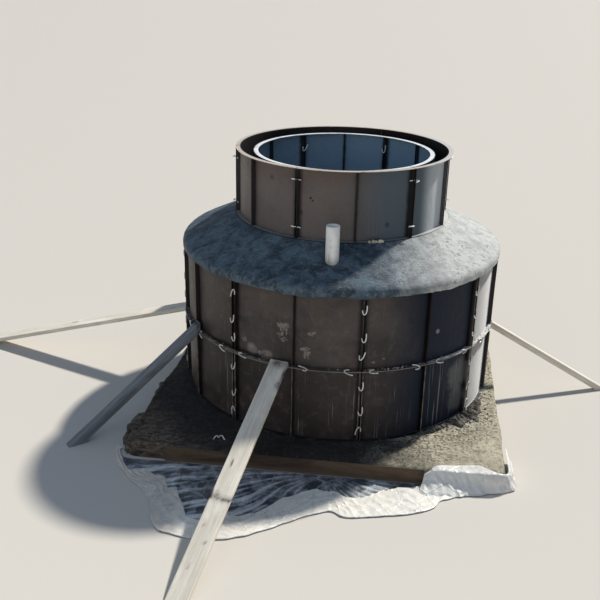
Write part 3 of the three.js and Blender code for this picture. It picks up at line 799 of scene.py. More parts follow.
def makeDome():
    count, last = dome["around"], dome["rows"]
    top = np.stack([np.linspace(1.05, 0.78, 8), np.full(8, neck["foot"])], -1)
    profile = np.concatenate([smoothPath(dome["outside"], last), top, smoothPath(dome["inside"], 12), dome["under"]])
    azimuth = np.linspace(0, 360, count, endpoint=False)
    points = polar(profile[:, None, 0], azimuth[None, :], profile[:, None, 1])
    outward = points * (1, 1, 0) / np.linalg.norm(points[..., :2], axis=-1)[..., None]
    rows = np.arange(len(profile))[:, None]
    bumps = dome["lump"] * (0.7 * roughNoise(points, 0.26, 5) + 0.45 * roughNoise(points, 0.06, 9, 3))
    points[..., 2] += bumps * fade(rows, 0, 3) * (1 - fade(rows, last - 3, last))
    lip = (1 - fade(rows, 8, 16)) * (rows < last)
    points += outward * (lip * (0.0015 + 0.004 * np.abs(softNoise(points, 0.09, 31))))[..., None]
    hang = dome["drip"] * np.clip(softNoise(points, 0.11, 33) + 0.5 * softNoise(points, 0.035, 35), 0, 1)
    points[..., 2] -= hang * (1 - fade(rows, 0, 4)) * (rows < last)
    base = (len(profile) - 1) * count
    closing = [(base + c, base + (c + 1) % count, (c + 1) % count, c) for c in range(count)]
    return newObject("dome_concrete", points, gridFaces(len(profile), count, closed=True) + closing, domeConcrete, 60)


def revolved(name, profile, around, centre, material):
    azimuth = np.linspace(0, 360, around, endpoint=False)
    profile = np.asarray(profile, float)
    points = polar(profile[:, None, 0], azimuth[None, :], profile[:, None, 1]) + np.asarray(centre)
    size = len(profile) * around
    faces = [tuple(v % size for v in face) for face in gridFaces(len(profile) + 1, around, closed=True)]
    return newObject(name, points, faces, material, 40)


pipe = {
    "radius": 0.06, "wall": 0.004, "azimuth": -3.05, "offset": 1.248, "foot": 1.57, "middle": 1.85, "top": 2.077,
    "around": 40, "ease": 0.002,
}
domePiece = makeDome()
pipeCentre = polar(pipe["offset"], pipe["azimuth"])
outside, inside = pipe["radius"], pipe["radius"] - pipe["wall"]
bore = outside - 0.001
cutter = revolved("pipeCutter", [(0.0002, 1.4), (bore, 1.4), (bore, 2.1), (0.0002, 2.1)], 32, pipeCentre, None)
cut = domePiece.modifiers.new("bore", "BOOLEAN")
cut.object, cut.operation, cut.solver = cutter, "DIFFERENCE", "EXACT"
bake(domePiece, cut)
bpy.data.objects.remove(cutter)
settle(domePiece, "dome_concrete", "dome_shoulder")

brim, eased = pipe["top"], pipe["top"] - pipe["ease"]
pipeProfile = [
    (inside, pipe["foot"]), (outside, pipe["foot"]), (outside, pipe["middle"]), (outside, eased),
    (bore, brim), (inside + 0.001, brim), (inside, eased), (inside, pipe["middle"]),
]
settle(revolved("pipe_stub_plastic", pipeProfile, pipe["around"], pipeCentre, pipePlastic), "pipe_plastic", "pipe_stub")

wall = {"inner": 1.37, "outer": 1.5194, "foot": 0.1503, "top": 1.5497, "around": 240}
wallProfile = [(wall["inner"], wall["foot"]), (wall["outer"], wall["foot"]), (wall["outer"], wall["top"])]
wallProfile += [(wall["inner"], z) for z in np.linspace(wall["top"], 0.2, 12)]
wallPiece = revolved("tank_wall_concrete", wallProfile, wall["around"], (0, 0, 0), wallConcrete)
settle(wallPiece, "tank_concrete", "tank_wall_1", "tank_wall_2", "tank_wall_3", "tank_wall_4")
print("dome, pipe and wall made")

# The base slab: a rounded outline, a rough top and a lumpy rim, straight where the form holds it
slab = {
    "corners": [(-1.893, -1.735), (1.503, -1.994), (1.812, 1.557), (-1.529, 1.811)], "round": 0.13, "height": 0.15,
    "around": 460, "rings": 40, "seed": 41, "rough": 0.006, "bulge": 0.03, "mostBulge": 0.055, "drop": 0.05,
    "side": ((0.994, 0.9), (1.0, 0.7), (1.002, 0.45), (1.001, 0.2), (0.998, 0.0)),
}
frontLeft = np.array(slab["corners"][0])
alongFront = unitOf(np.array(slab["corners"][1]) - frontLeft)
outFront = np.array([alongFront[1], -alongFront[0]])


def roundedOutline(corners, radius, count):
    corners = [Vector(c) for c in corners]
    points = []
    for i, corner in enumerate(corners):
        a = corner + (corners[i - 1] - corner).normalized() * radius
        b = corner + (corners[(i + 1) % len(corners)] - corner).normalized() * radius
        points += [a * (1 - t) ** 2 + corner * 2 * t * (1 - t) + b * t**2 for t in np.linspace(0, 1, 12)]
    points = np.array(points + [points[0]])
    run = np.concatenate([[0], np.cumsum(np.linalg.norm(np.diff(points, axis=0), axis=1))])
    where = np.linspace(0, run[-1], count, endpoint=False)
    return np.stack([np.interp(where, run, points[:, k]) for k in range(2)], -1)


def makeSlab():
    count, seed = slab["around"], slab["seed"]
    edge = roundedOutline(slab["corners"], slab["round"], count)
    beyond, run = (edge - frontLeft) @ outFront, (edge - frontLeft) @ alongFront
    held = fade(beyond, -0.06, -0.01) * fade(run, 0.3, 0.45) * (1 - fade(run, 2.62, 2.76))
    flatEdge = levelled(edge)
    inwards = slab["bulge"] * (0.55 + 0.6 * roughNoise(flatEdge, 0.42, seed, 4)) * (1 - held)
    unit = unitOf(edge)
    edge = edge - unit * np.clip(inwards, 0.001, slab["mostBulge"])[:, None]
    drop = slab["drop"] * fade(roughNoise(flatEdge, 0.7, seed + 9, 3), 0.05, 0.6) * (1 - held)
    rows = []
    for share in np.concatenate([np.linspace(0.0, 0.6, 5)[1:], np.linspace(0.62, 0.985, slab["rings"])]):
        rows.append(levelled(edge * share, slab["height"] - fade(share, 0.9, 1.0) * (0.008 + drop)))
    top = len(rows)
    for out, level in slab["side"]:
        rows.append(levelled(edge * out, np.maximum(slab["height"] - 0.008 - drop, 0.07) * level))
    points = np.array(rows)
    bumps = slab["rough"] * (0.9 * roughNoise(points, 0.3, seed + 3) + 0.8 * roughNoise(points, 0.07, seed + 5, 3))
    bumps *= fade(np.linalg.norm(points[..., :2], axis=-1), 1.54, 1.66)  # level where the moulds stand
    points[:top, :, 2] += bumps[:top]
    lumps = (1 - held)[None, :] * softNoise(points, 0.06, seed + 7) * 0.008
    points[top:, :, :2] += (unit[None] * lumps[..., None])[top:]
    points[..., 2] = np.maximum(points[..., 2], 0.0)
    centre, last = len(rows) * count, (len(rows) - 1) * count
    faces = gridFaces(len(rows), count, closed=True, flip=True)
    faces += [(centre, c, (c + 1) % count) for c in range(count)]
    faces += [(centre + 1, last + (c + 1) % count, last + c) for c in range(count)]
    allPoints = np.concatenate([points.reshape(-1, 3), [(0, 0, slab["height"]), (0, 0, 0)]])
    return newObject("slab_concrete_rough", allPoints, faces, slabConcrete)


settle(makeSlab(), "slab_concrete", "base_slab")

# The rusty strip along the slab's front, a little buckled
strip = {
    "start": 0.41, "length": 2.283, "thickness": 0.006, "height": 0.148, "clearance": 0.0003,
    "columns": 120, "rows": 9, "buckle": 0.0015,
}


def makeStrip():
    rows, columns = strip["rows"], strip["columns"]
    run = np.linspace(strip["start"], strip["start"] + strip["length"], columns)
    sheets = []
    for offset in (strip["clearance"], strip["clearance"] + strip["thickness"]):
        sheet = np.zeros((rows, columns, 3))
        sheet[..., :2] = frontLeft + alongFront * run[None, :, None] + outFront * offset
        sheet[..., 2] = np.linspace(0, strip["height"], rows)[:, None]
        flex = strip["buckle"] * (1 + roughNoise(sheet * (1, 0, 1), 0.5, 61, 3))
        sheet[..., :2] += outFront * flex[..., None]
        sheet[-1, :, 2] += 0.003 * softNoise(sheet[-1] * (1, 0, 0), 0.12, 66) - 0.003
        sheets.append(sheet)
    size = rows * columns
    faces = gridFaces(rows, columns, flip=True)
    faces += [tuple(v + size for v in face) for face in gridFaces(rows, columns)]
    rim = [r * columns for r in range(rows)]
    border = list(range(columns)) + [r + columns - 1 for r in rim[1:]]
    border += [(rows - 1) * columns + c for c in range(columns - 2, -1, -1)] + rim[-2:0:-1]
    faces += [(b + size, a + size, a, b) for a, b in zip(border, border[1:] + border[:1])]
    return newObject("front_form_strip", np.array(sheets), faces, rustyStrip, 40)


settle(makeStrip(), "rusty_steel", "slab_edge_form")
print("slab and form strip made")

# Raking timbers: head cut upright against the mould, foot cut to the ground, corners eased
ringFlat = math.cos(math.radians(3.75))  # the mould's ring is made of flats
flangeFlat = (tank["radius"] + plate["thickness"] + plate["flange"]) * ringFlat + plate["gap"]
plateFlat = (tank["radius"] + plate["thickness"]) * ringFlat + plate["gap"]
timbers = {
    "front_plank": {
        "azimuth": -17.75, "offset": -0.019, "skew": 0.053, "bearing": flangeFlat, "head": 0.852, "foot": 3.695,
        "width": 0.17, "depth": 0.042, "wood": paleTimber, "slot": "pale_timber", "seed": 2, "bands": ((1.39, 0.022),),
        "marks": ((0.03, 0.0, 0.05, 0.07), (0.26, 0.08, 0.035, 0.022), (0.12, 0.085, 0.12, 0.012),
                  (1.37, -0.05, 0.03, 0.02), (1.62, -0.03, 0.012, 0.008), (1.75, 0.03, 0.01, 0.01),
                  (1.95, -0.02, 0.014, 0.007)),
    },
    "left_square_prop": {
        "azimuth": -55.25, "offset": -0.06, "skew": 0.0, "bearing": flangeFlat, "head": 0.852, "foot": 2.756,
        "width": 0.085, "depth": 0.085, "wood": greyTimber, "slot": "grey_timber", "seed": 7,
        "bands": ((0.02, 0.02),), "marks": (),
    },
    "left_plank": {
        "azimuth": -92.75, "offset": -0.018, "skew": -0.134, "bearing": plateFlat, "head": 0.714, "foot": 3.994,
        "width": 0.18, "depth": 0.042, "wood": paleTimber, "slot": "pale_timber", "seed": 12, "bands": (), "marks": (),
    },
    "right_prop": {
        "azimuth": 87.25, "offset": 0.0, "skew": 0.1, "bearing": plateFlat, "head": 0.725, "foot": 2.751,
        "width": 0.062, "depth": 0.062, "wood": paleTimber, "slot": "pale_timber", "seed": 17,
        # a dark band at the foot: wet earth, with painted shade where a bank would shadow it
        "bands": ((2.0, 0.4),), "marks": (),
    },
}
timberRows, timberEase = 90, 0.006


def makeTimber(name, look):
    rows, ease, seed, deep = timberRows, timberEase, look["seed"], look["depth"]
    slope = math.atan2(look["head"], look["foot"] - look["bearing"])
    foot, head = (look["foot"], 0.0), (look["bearing"], look["head"])
    upperFoot, upperHead = (foot[0] + deep / math.sin(slope), 0.0), (head[0], head[1] + deep / math.cos(slope))
    low, high = np.linspace(foot, head, rows), np.linspace(upperFoot, upperHead, rows)
    half, softer = look["width"] / 2, ease / deep
    ring = [(-half + ease, 1.0), *((half * share, 1.0) for share in (-0.8, -0.6, -0.4, -0.2, 0, 0.2, 0.4, 0.6, 0.8))]
    ring += [(half - ease, 1.0), (half - ease * 0.3, 1 - softer * 0.3), (half, 1 - softer), (half, 0.5)]
    ring += [(half, softer), (half - ease * 0.3, softer * 0.3)]
    ring += [(-a, 1 - t) for a, t in ring]
    points = np.zeros((rows, len(ring), 3))
    for k, (side, share) in enumerate(ring):
        line = low + (high - low) * share
        points[:, k] = np.stack([line[:, 0], np.full(rows, side), line[:, 1]], -1)
    length = np.linalg.norm(low[:, None, :] - low[0], axis=-1)
    layer = np.array([share for _, share in ring])[None, :] * deep
    grain = np.stack(np.broadcast_arrays(length, points[..., 1], layer), -1)
    wear = 0.0007 * roughNoise(grain * (1, 3, 3), 0.3, seed, 3) + 0.0004 * softNoise(grain, 0.03, seed + 3)
    ends = fade(np.arange(rows), 0, 2)[:, None] * (1 - fade(np.arange(rows), rows - 3, rows - 1)[:, None])
    away = (points - points.mean(axis=1, keepdims=True)) * (0, 1, 1)
    points += away / np.maximum(np.linalg.norm(away, axis=-1, keepdims=True), 1e-6) * ((wear - 0.0012) * ends)[..., None]
    points[..., 1] += look["offset"] + look["skew"] * (points[..., 0] - look["bearing"])
    angle = math.radians(look["azimuth"] - 90)
    turn = np.array([[math.cos(angle), -math.sin(angle), 0], [math.sin(angle), math.cos(angle), 0], [0, 0, 1]])
    count = len(ring)
    cap, last = rows * count, (rows - 1) * count
    faces = gridFaces(rows, count, closed=True)
    faces += [(cap, (c + 1) % count, c) for c in range(count)]
    faces += [(cap + 1, last + c, last + (c + 1) % count) for c in range(count)]
    allPoints = np.concatenate([points.reshape(-1, 3), [points[0].mean(axis=0), points[-1].mean(axis=0)]]) @ turn.T
    piece = newObject(name + "_sawn", allPoints, faces, look["wood"], 50)
    places = np.concatenate([grain.reshape(-1, 3), [(0, 0, deep / 2), (length[-1].item(), 0, deep / 2)]])
    addValues(piece, "grain", places + seed)
    fromHead = length[-1] - places[:, 0]
    stainAndShade = np.zeros(len(places))
    for at, wide in look["bands"]:
        stainAndShade += np.exp(-(((fromHead - at) / wide) ** 2))
    for at, side, long, wide in look["marks"]:
        stainAndShade += np.exp(-(((fromHead - at) / long) ** 2) - (((places[:, 1] - side) / wide) ** 2))
    addValues(piece, "stainAndShade", np.clip(stainAndShade, 0, 1))
    return piece


for name, look in timbers.items():
    settle(makeTimber(name, look), look["slot"], name)
print("timbers made")


# Crumbs and heaps of mortar: lumps set on points, each made rough by noise at its own place
def lumpTree():
    tree, given, result = startTree("mortarCrumbs", {"Rough": "Float", "Seed": "Int", "Mortar": "Material"})
    ball = node(tree, "GeometryNodeMeshIcoSphere", {"Radius": 1.0, "Subdivisions": 2})
    size = node(tree, "GeometryNodeInputNamedAttribute", {"Name": "size"}, data_type="FLOAT")
    turn = node(tree, "FunctionNodeRandomValue", {1: (6.28, 6.28, 6.28), "Seed": given["Seed"]}, data_type="FLOAT_VECTOR")
    spun = node(tree, "FunctionNodeEulerToRotation", {0: turn})
    scale = joinXYZ(tree, size, size * 0.8, size * 0.7)
    places = {"Points": given["Geometry"], "Instance": ball, "Rotation": spun, "Scale": scale}
    lumps = node(tree, "GeometryNodeRealizeInstances", {"Geometry": node(tree, "GeometryNodeInstanceOnPoints", places)})
    noise = node(tree, "ShaderNodeTexNoise", {"Scale": 55.0, "Detail": 2.0}, 1)
    pushed = vectorCalc("SCALE", vectorCalc("ADD", noise, (-0.5, -0.5, -0.5)), given["Rough"])
    rough = node(tree, "GeometryNodeSetPosition", {"Geometry": lumps, "Offset": pushed})
    return endTree(tree, rough, given["Mortar"], result)


def crumbs(name, places, sizes, material, rough, seed):
    piece = newObject(name, places, [])
    addValues(piece, "size", sizes)
    settle(grow(piece, crumbTree, {"Rough": rough, "Seed": seed, "Mortar": material}, 80), "slab_concrete")


crumbTree = lumpTree()
ledge = {"count": 260, "seed": 71, "size": (0.004, 0.013), "radius": (1.527, 1.56), "rough": 0.012}
dice = random.Random(ledge["seed"])
places, sizes = [], []
while len(places) < ledge["count"]:
    azimuth = dice.uniform(-180, 180)
    thick = max(0, float(softNoise([[azimuth / 20, 0.5, 0.5]], 1.0, 73)[0]))
    if dice.random() < 0.25 + 0.75 * thick:
        size = dice.uniform(*ledge["size"]) * (0.7 + 0.6 * thick)
        places.append(polar(dice.uniform(*ledge["radius"]), azimuth, tank["seam"] + 0.005 + size * 0.3))
        sizes.append(size)
crumbs("ledge_mortar", places, sizes, mortar, ledge["rough"], 5)


# Banks of mortar: a rough roll along a path, flat below, thin at both ends
def mortarBank(name, look):
    count, columns, seed, lump = look["around"], look["columns"], look["seed"], look["lump"]
    path = smoothPath(look["path"], columns)
    run = unitOf(np.gradient(path[:, :2], axis=0))
    out = np.stack([run[:, 1], -run[:, 0]], -1)
    share = np.linspace(0, 1, columns)
    ends = fade(share, 0, 0.12) * (1 - fade(share, 0.88, 1)) + 0.01
    wide = look["wide"] * np.clip(0.75 + 0.7 * roughNoise(path, lump * 3, seed), 0.2, 1.6) * ends
    tall = look["tall"] * np.clip(0.65 + 0.8 * roughNoise(path, lump * 2, seed + 4), 0.12, 1.7) * ends
    turn = np.linspace(0, 2 * math.pi, count, endpoint=False)
    above = np.clip(np.sin(turn), 0, 1) ** 0.8
    points = np.repeat(path[:, None, :], count, axis=1)
    points[..., :2] += out[:, None, :] * (np.cos(turn)[None, :] * wide[:, None])[..., None]
    points[..., 2] += above[None, :] * tall[:, None]
    rough = roughNoise(points, lump, seed + 8, 4) * (above * 0.6 + 0.1)[None, :] * (tall[:, None] * 0.8)
    points[..., 2] += rough * above[None, :]
    points[..., :2] += out[:, None, :] * (rough * np.cos(turn)[None, :])[..., None]
    last = (columns - 1) * count
    faces = gridFaces(columns, count, closed=True, flip=True)
    faces += [tuple(range(count)), tuple(last + c for c in range(count))[::-1]]
    settle(newObject(name, points, faces, look["mortar"], 60), "slab_concrete")


def ringPath(radius, height, first, last):
    return [polar(radius, azimuth, height) for azimuth in np.linspace(first, last, 9)]


leftEdge = [(-1.85, -1.7, 0.0), (-1.835, -1.5, 0.0), (-1.79, -1.1, 0.0), (-1.74, -0.6, 0.0), (-1.7, -0.1, 0.0)]
banks = {
    "foot_mortar_bank": {"path": ringPath(1.58, 0.15, 26, 68), "wide": 0.045, "tall": 0.035, "lump": 0.02,
                         "columns": 220, "around": 22, "seed": 83, "mortar": darkMortar},
    "foot_mortar_heap": {"path": ringPath(1.62, 0.15, 43, 60), "wide": 0.085, "tall": 0.045, "lump": 0.022,
                         "columns": 110, "around": 26, "seed": 87, "mortar": darkMortar},
    "ledge_mortar_left": {"path": ringPath(1.543, 0.856, -62, -26), "wide": 0.017, "tall": 0.018, "lump": 0.014,
                          "columns": 300, "around": 14, "seed": 89, "mortar": greyMortar},
    # lime-white, with painted sunlight, on the sunny right of the ledge
    "ledge_mortar_right": {"path": ringPath(1.548, 0.856, 34, 84), "wide": 0.015, "tall": 0.013, "lump": 0.02,
                           "columns": 300, "around": 14, "seed": 93, "mortar": sunlitLimeMortar},
    "left_edge_bank": {"path": leftEdge, "wide": 0.075, "tall": 0.15, "lump": 0.06,
                       "columns": 220, "around": 26, "seed": 97, "mortar": sandyMortar},
}
for name, look in banks.items():
    mortarBank(name, look)

heap = {
    "azimuth": 51.0, "spread": 4.5, "radius": 1.66, "deep": 0.06, "nearest": 1.6,
    "count": 60, "seed": 83, "size": (0.005, 0.016), "rough": 0.012,
}
dice = random.Random(heap["seed"])
places, sizes = [], []
for _ in range(heap["count"]):
    azimuth = heap["azimuth"] + dice.gauss(0, heap["spread"])
    radius = max(heap["radius"] + dice.gauss(0, heap["deep"]), heap["nearest"])
    sizes.append(dice.uniform(*heap["size"]))
    places.append(polar(radius, azimuth, 0.152 + sizes[-1] * 0.2))
crumbs("foot_mortar_crumbs", places, sizes, mortar, heap["rough"], 6)

bits = {
    "at": (14.2, 16.2, 17.6, 19.4, 20.8), "sizes": (0.018, 0.021, 0.015, 0.024, 0.018),
    "radius": 1.046, "height": 1.866, "rough": 0.02,
}
places = [polar(bits["radius"], azimuth, bits["height"]) for azimuth in bits["at"]]
crumbs("neck_foot_bits", places, bits["sizes"], paleMortar, bits["rough"], 9)

# Splashes of cement on the plates: ragged pats with a few tails and drips
splashes = {
    "radius": 1.5245, "thickness": 0.002, "seed": 55, "around": 120, "tails": 9,
    "layers": ((0.0, 0.9), (0.35, 1.0), (0.75, 0.55), (1.0, -0.35)),
    "pats": ((-18.2, 1.215, 0.085, 0.07), (-16.6, 1.23, 0.06, 0.1), (-19.0, 1.13, 0.05, 0.02), (-17.5, 1.09, 0.055, 0.0),
             (-8.3, 1.175, 0.05, 0.0), (-7.4, 1.19, 0.035, 0.0), (-10.2, 1.02, 0.07, 0.11), (-9.2, 0.99, 0.05, 0.06),
             (-33, 1.0, 0.045, 0.02), (-30, 0.95, 0.05, 0.02), (-25.5, 0.91, 0.06, 0.0), (-23.0, 0.895, 0.055, 0.0),
             (12.5, 0.92, 0.03, 0.0), (16.0, 0.95, 0.025, 0.0)),
}


def makeSplashes():
    dice = random.Random(splashes["seed"])
    points, faces = [], []
    angles = np.linspace(0, 2 * math.pi, splashes["around"], endpoint=False)
    for azimuth, height, size, drip in splashes["pats"]:
        spot = np.stack([np.cos(angles), np.sin(angles), np.full(len(angles), azimuth)], -1)
        edge = 0.55 + 0.55 * roughNoise(spot, 0.9, splashes["seed"], 4)
        for _ in range(splashes["tails"]):
            at, wide, long = dice.uniform(0, 2 * math.pi), dice.uniform(0.05, 0.16), dice.uniform(0.1, 0.6)
            gap = np.angle(np.exp(1j * (angles - at)))
            edge = np.maximum(edge, 0.45 + long * np.exp(-((gap / wide) ** 2)))
        down = np.exp(-((np.angle(np.exp(1j * (angles + math.pi / 2))) / 0.16) ** 2))
        reach = np.maximum(edge, 0.2) * size + down * drip
        base = sum(len(part) for part in points)
        for share, lift in splashes["layers"]:
            across, up = share * reach * np.cos(angles), share * reach * np.sin(angles) * 0.7
            radius = splashes["radius"] + lift * splashes["thickness"]
            points.append(polar(radius, azimuth + np.degrees(across / tank["radius"]), height + up))
        pat = gridFaces(len(splashes["layers"]), len(angles), closed=True, flip=True)
        faces += [tuple(v + base for v in face) for face in pat]
    return newObject("cement_splashes", np.concatenate(points), faces, splashCement)


settle(makeSplashes(), "slab_concrete")
print("mortar and splashes made")

# The polythene: an apron folded on the ground with its hem turned back, and a flap wrapped round the corner
apron = {
    "outer": [(-1.985, -1.56), (-1.9, -1.84), (-1.672, -2.155), (-1.509, -2.346), (-1.4, -2.699), (-1.203, -2.831),
              (-0.804, -2.844), (-0.488, -2.691), (-0.047, -2.43), (0.162, -2.486), (0.538, -2.424), (0.808, -2.345),
              (0.952, -2.177), (1.2, -2.1), (1.43, -2.04), (1.585, -1.9), (1.61, -1.59)],
    "inner": [(-1.915, -1.6), (-1.905, -1.68), (-1.82, -1.76), (-1.5, -1.782), (-1.25, -1.801), (-0.95, -1.824),
              (-0.6, -1.851), (-0.3, -1.874), (0.0, -1.897), (0.2, -1.912), (0.55, -1.938), (0.8, -1.957),
              (1.0, -1.973), (1.2, -1.988), (1.4, -2.003), (1.53, -1.96), (1.565, -1.6)],
    "hem": [0.1, 0.14, 0.17, 0.26, 0.66, 0.22, 0.24, 0.44, 0.3, 0.32, 0.33, 0.28, 0.16, 0.09, 0.07, 0.06, 0.05],
    "columns": 360, "rows": 64, "bendRows": 4, "hemRows": 22, "apex": (-0.06, -1.84), "fold": 0.017, "seed": 101,
}


def foldHeight(spot):  # thin folds that fan out from the apex, over small crumples
    seed = apron["seed"]
    dx, dy = spot[..., 0] - apron["apex"][0], spot[..., 1] - apron["apex"][1]
    angle = np.degrees(np.arctan2(-dy, np.abs(dx)))
    drift = 0.8 * softNoise(spot, 0.6, seed) + 0.12 * softNoise(spot, 0.14, seed + 2)
    fan = tent(angle / 8.5 + drift) ** 4.5 * np.clip(0.75 + 1.1 * softNoise(spot + 4, 0.33, seed + 7), 0, 1.2)
    small = tent(angle / 3.3 + 1.7 * drift) ** 3.0 * np.clip(0.5 + 1.4 * softNoise(spot + 9, 0.2, seed + 8), 0, 1.2)
    crumple = 1 - np.abs(roughNoise(spot, 0.13, seed + 5, 3)) * 1.6
    strong = fade(np.hypot(dx, dy), 0.05, 0.7)
    return apron["fold"] * (strong * (0.85 * fan + 0.4 * small) + 0.3 * np.clip(crumple, 0, 1))


def makeApron():
    count, seed = apron["columns"], apron["seed"]
    outer, inner = smoothPath(apron["outer"], count), smoothPath(apron["inner"], count)
    hem = np.interp(np.linspace(0, 1, count), np.linspace(0, 1, len(apron["hem"])), apron["hem"])
    along = levelled(outer)
    hem = np.maximum(hem * (1 + 0.35 * softNoise(along, 0.22, seed + 11)), 0.03)
    span = np.linalg.norm(inner - outer, axis=1)
    back = unitOf(inner - outer)
    outer = outer + back * (0.015 + 0.012 * softNoise(along, 0.09, seed + 13))[:, None]
    rows, layers, crests = [], [], []
    for share in np.linspace(0, 1, apron["rows"]):
        flat = inner + (outer - inner) * share
        fold = foldHeight(levelled(flat))
        height = 0.003 + fold * (0.25 + 0.75 * fade(share, 0, 0.12)) * (1 - 0.75 * fade(share, 0.8, 1))
        rows.append(levelled(flat, height))
        layers.append(np.zeros(count))
        crests.append(fold / apron["fold"])
    edge = rows[-1]
    steps = apron["bendRows"] + 1
    for k in range(1, steps):  # the rounded bend of the hem
        angle = math.pi * k / steps
        rows.append(levelled(edge[:, :2] - back * (0.008 * math.sin(angle)), edge[:, 2] + 0.005 * (1 - math.cos(angle))))
        layers.append(np.full(count, k / steps))
    for share in np.linspace(0, 1, apron["hemRows"])[1:]:
        flat = outer + back * (np.minimum(hem, span * 0.85) * share)[:, None]
        spot = levelled(flat)
        under = 0.003 + foldHeight(spot) * (1 - 0.6 * fade(1 - hem * share / span, 0.8, 1))
        loose = 0.008 + 0.01 * np.clip(roughNoise(spot + 5, 0.12, seed + 17, 3), 0, 1) * (1 - 0.4 * share)
        pleat = tent(share * hem / 0.12 + 2.4 * softNoise(spot, 0.22, seed + 21)) ** 3
        slit = tent(share * hem / 0.16 + 2.6 * softNoise(spot, 0.3, seed + 23)) ** 8
        slit = slit * fade(softNoise(spot, 0.16, seed + 25), -0.3, 0.3)
        rows.append(levelled(flat, under * (0.55 + 0.3 * share) + loose + 0.007 * pleat * fade(share, 0, 0.3)))
        layers.append(1 - 0.75 * slit)
    points = np.array(rows)
    points[8:, :, 0] += (0.012 * softNoise(points, 0.1, seed + 19))[8:] * 0.6
    piece = newObject("ground_film", points, gridFaces(len(rows), count, flip=True), film)
    crests += [np.ones(count)] * (len(rows) - len(crests))
    addValues(piece, "doubled", np.concatenate(layers))
    addValues(piece, "crest", np.concatenate(crests))
    return piece


flap = {
    "top": [(0.82, -1.93, 0.1), (0.9, -1.9, 0.154), (1.02, -1.885, 0.156), (1.15, -1.875, 0.156), (1.26, -1.865, 0.156),
            (1.36, -1.93, 0.156), (1.44, -1.972, 0.15), (1.507, -1.93, 0.138), (1.526, -1.78, 0.138), (1.552, -1.5, 0.12)],
    "edge": [(0.8, -1.948), (0.9, -1.956), (1.02, -1.965), (1.15, -1.974), (1.27, -1.982),
             (1.38, -1.985), (1.455, -1.982), (1.515, -1.935), (1.536, -1.79), (1.56, -1.5)],
    "foot": [(0.74, -2.1), (0.86, -2.13), (0.98, -2.12), (1.14, -2.09), (1.28, -2.06),
             (1.41, -2.03), (1.5, -2.01), (1.565, -1.95), (1.585, -1.8), (1.61, -1.55)],
    "columns": 150, "topRows": 8, "sideRows": 24, "seed": 131, "doubled": 0.7, "crest": 1.0,
}


def makeFlap():
    count, seed = flap["columns"], flap["seed"]
    top, edge, foot = (smoothPath(flap[key], count) for key in ("top", "edge", "foot"))
    reach = np.linalg.norm(foot - edge, axis=1)
    out = unitOf(foot - edge)
    rows = []
    for share in np.linspace(0, 1, flap["topRows"]):
        rows.append(levelled(top[:, :2] + (edge - top[:, :2]) * share, top[:, 2] + 0.004 + 0.002 * math.sin(share * math.pi)))
    for share in np.linspace(0.06, 1, flap["sideRows"]):
        slide = 0.012 + (reach - 0.012) * share**2.4
        rows.append(levelled(edge + out * slide[:, None], top[:, 2] * (1 - share) ** 0.8 * (1 - 0.25 * share) + 0.006))
    points = np.array(rows)
    low = fade(np.arange(len(rows)), 6, 14)[:, None]
    ridge = np.clip(1 - np.abs(roughNoise(points * (1, 1, 0.5), 0.12, seed, 3)) * 2, 0, 1)
    slant = tent((points[..., 0] + 0.5 * points[..., 2]) / 0.075 + 0.8 * softNoise(points, 0.2, seed + 4))
    points[..., :2] += out[None] * ((0.014 * ridge + 0.01 * slant) * low)[..., None]
    points[..., 2] += 0.006 * ridge
    piece = newObject("corner_film", points, gridFaces(len(rows), count, flip=True), film)
    for label in ("doubled", "crest"):
        addValues(piece, label, np.full(len(rows) * count, flap[label]))
    return piece


apronPiece, flapPiece = makeApron(), makeFlap()
for piece in (apronPiece, flapPiece):
    print("film", piece.name, "area", round(sum(p.area for p in piece.data.polygons), 3))
    settle(piece, "sheet_plastic", "ground_sheet")
print("film laid")

# Camera, light and floor
view = {"place": (0, -8.265, 4.23), "pitch": 22.059, "yaw": -2.734, "roll": 1.261, "lens": 51.55, "sensor": 36, "reach": 900}
studio = {"reach": 320, "wall": 70, "around": 96, "sink": 0.001, "colour": (0.58, 0.55, 0.5)}
light = {
    "sunAzimuth": 138, "sunHeight": 46, "sun": 4.4, "softness": 3, "sunTint": (1.0, 0.95, 0.87), "sky": (0.55, 0.72, 1.0),
    "skyStrength": 0.34, "fill": 60, "fillSize": 6, "fillPlace": (-3.5, -7.0, 6.0), "fillTint": (0.9, 0.95, 1.0),
}


def place(name, data, matrix):
    made = bpy.data.objects.new(name, data)
    made.matrix_world = matrix
    bpy.context.scene.collection.objects.link(made)
    return made


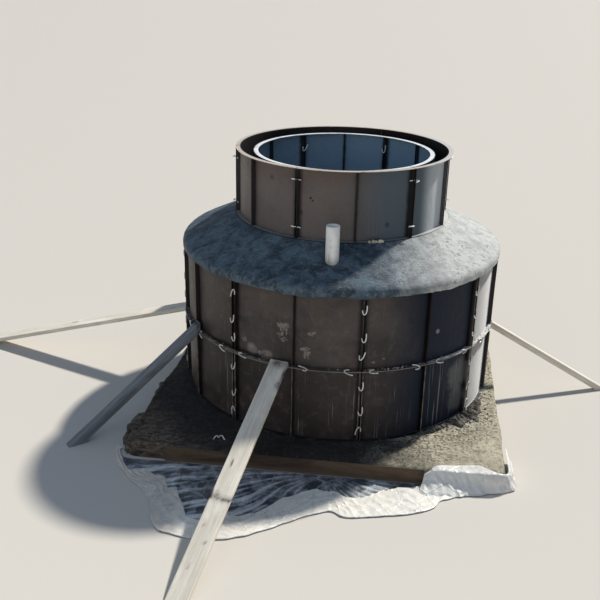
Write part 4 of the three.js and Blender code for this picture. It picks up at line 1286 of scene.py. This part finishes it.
def makeCamera():
    pitch, yaw, roll = (math.radians(view[key]) for key in ("pitch", "yaw", "roll"))
    forward = Vector((math.sin(yaw) * math.cos(pitch), math.cos(yaw) * math.cos(pitch), -math.sin(pitch)))
    right = Vector((math.cos(yaw), -math.sin(yaw), 0))
    up = right.cross(forward)
    turn = Matrix((right * math.cos(roll) + up * math.sin(roll), up * math.cos(roll) - right * math.sin(roll), -forward))
    lens = bpy.data.cameras.new("photoView")
    lens.lens, lens.sensor_width, lens.clip_end = view["lens"], view["sensor"], view["reach"]
    bpy.context.scene.camera = place("photoView", lens, Matrix.Translation(view["place"]) @ turn.transposed().to_4x4())


def makeFloor():  # a plain round floor with a plain wall far behind
    count = studio["around"]
    ring = [polar(studio["reach"], 360 * k / count, -studio["sink"]) for k in range(count)]
    top = [(x, y, studio["wall"]) for x, y, _ in ring]
    faces = [tuple(range(count))] + [(c, count + c, count + (c + 1) % count, (c + 1) % count) for c in range(count)]
    material, _, surface = startMaterial("paleFloor", 0.9)
    feed(surface["Base Color"], studio["colour"])
    newObject("floor", ring + top, faces, material, 30)


def makeLights():
    height = math.radians(light["sunHeight"])
    towards = Vector(polar(math.cos(height), light["sunAzimuth"], math.sin(height)))
    sun = bpy.data.lights.new("softSun", "SUN")
    sun.energy, sun.angle, sun.color = light["sun"], math.radians(light["softness"]), light["sunTint"]
    place("softSun", sun, towards.to_track_quat("Z", "Y").to_matrix().to_4x4())
    panel = bpy.data.lights.new("frontFill", "AREA")
    panel.energy, panel.size, panel.color = light["fill"], light["fillSize"], light["fillTint"]
    spot = Vector(light["fillPlace"])
    place("frontFill", panel, Matrix.Translation(spot) @ spot.to_track_quat("Z", "Y").to_matrix().to_4x4())
    world = bpy.data.worlds.new("softSky")
    world.use_nodes = True
    sky = world.node_tree.nodes["Background"].inputs
    feed(sky["Color"], light["sky"])
    feed(sky["Strength"], light["skyStrength"])
    bpy.context.scene.world = world
    bpy.context.scene.view_settings.view_transform = "Standard"


makeCamera()
makeFloor()
makeLights()
print("camera, floor and lights set")
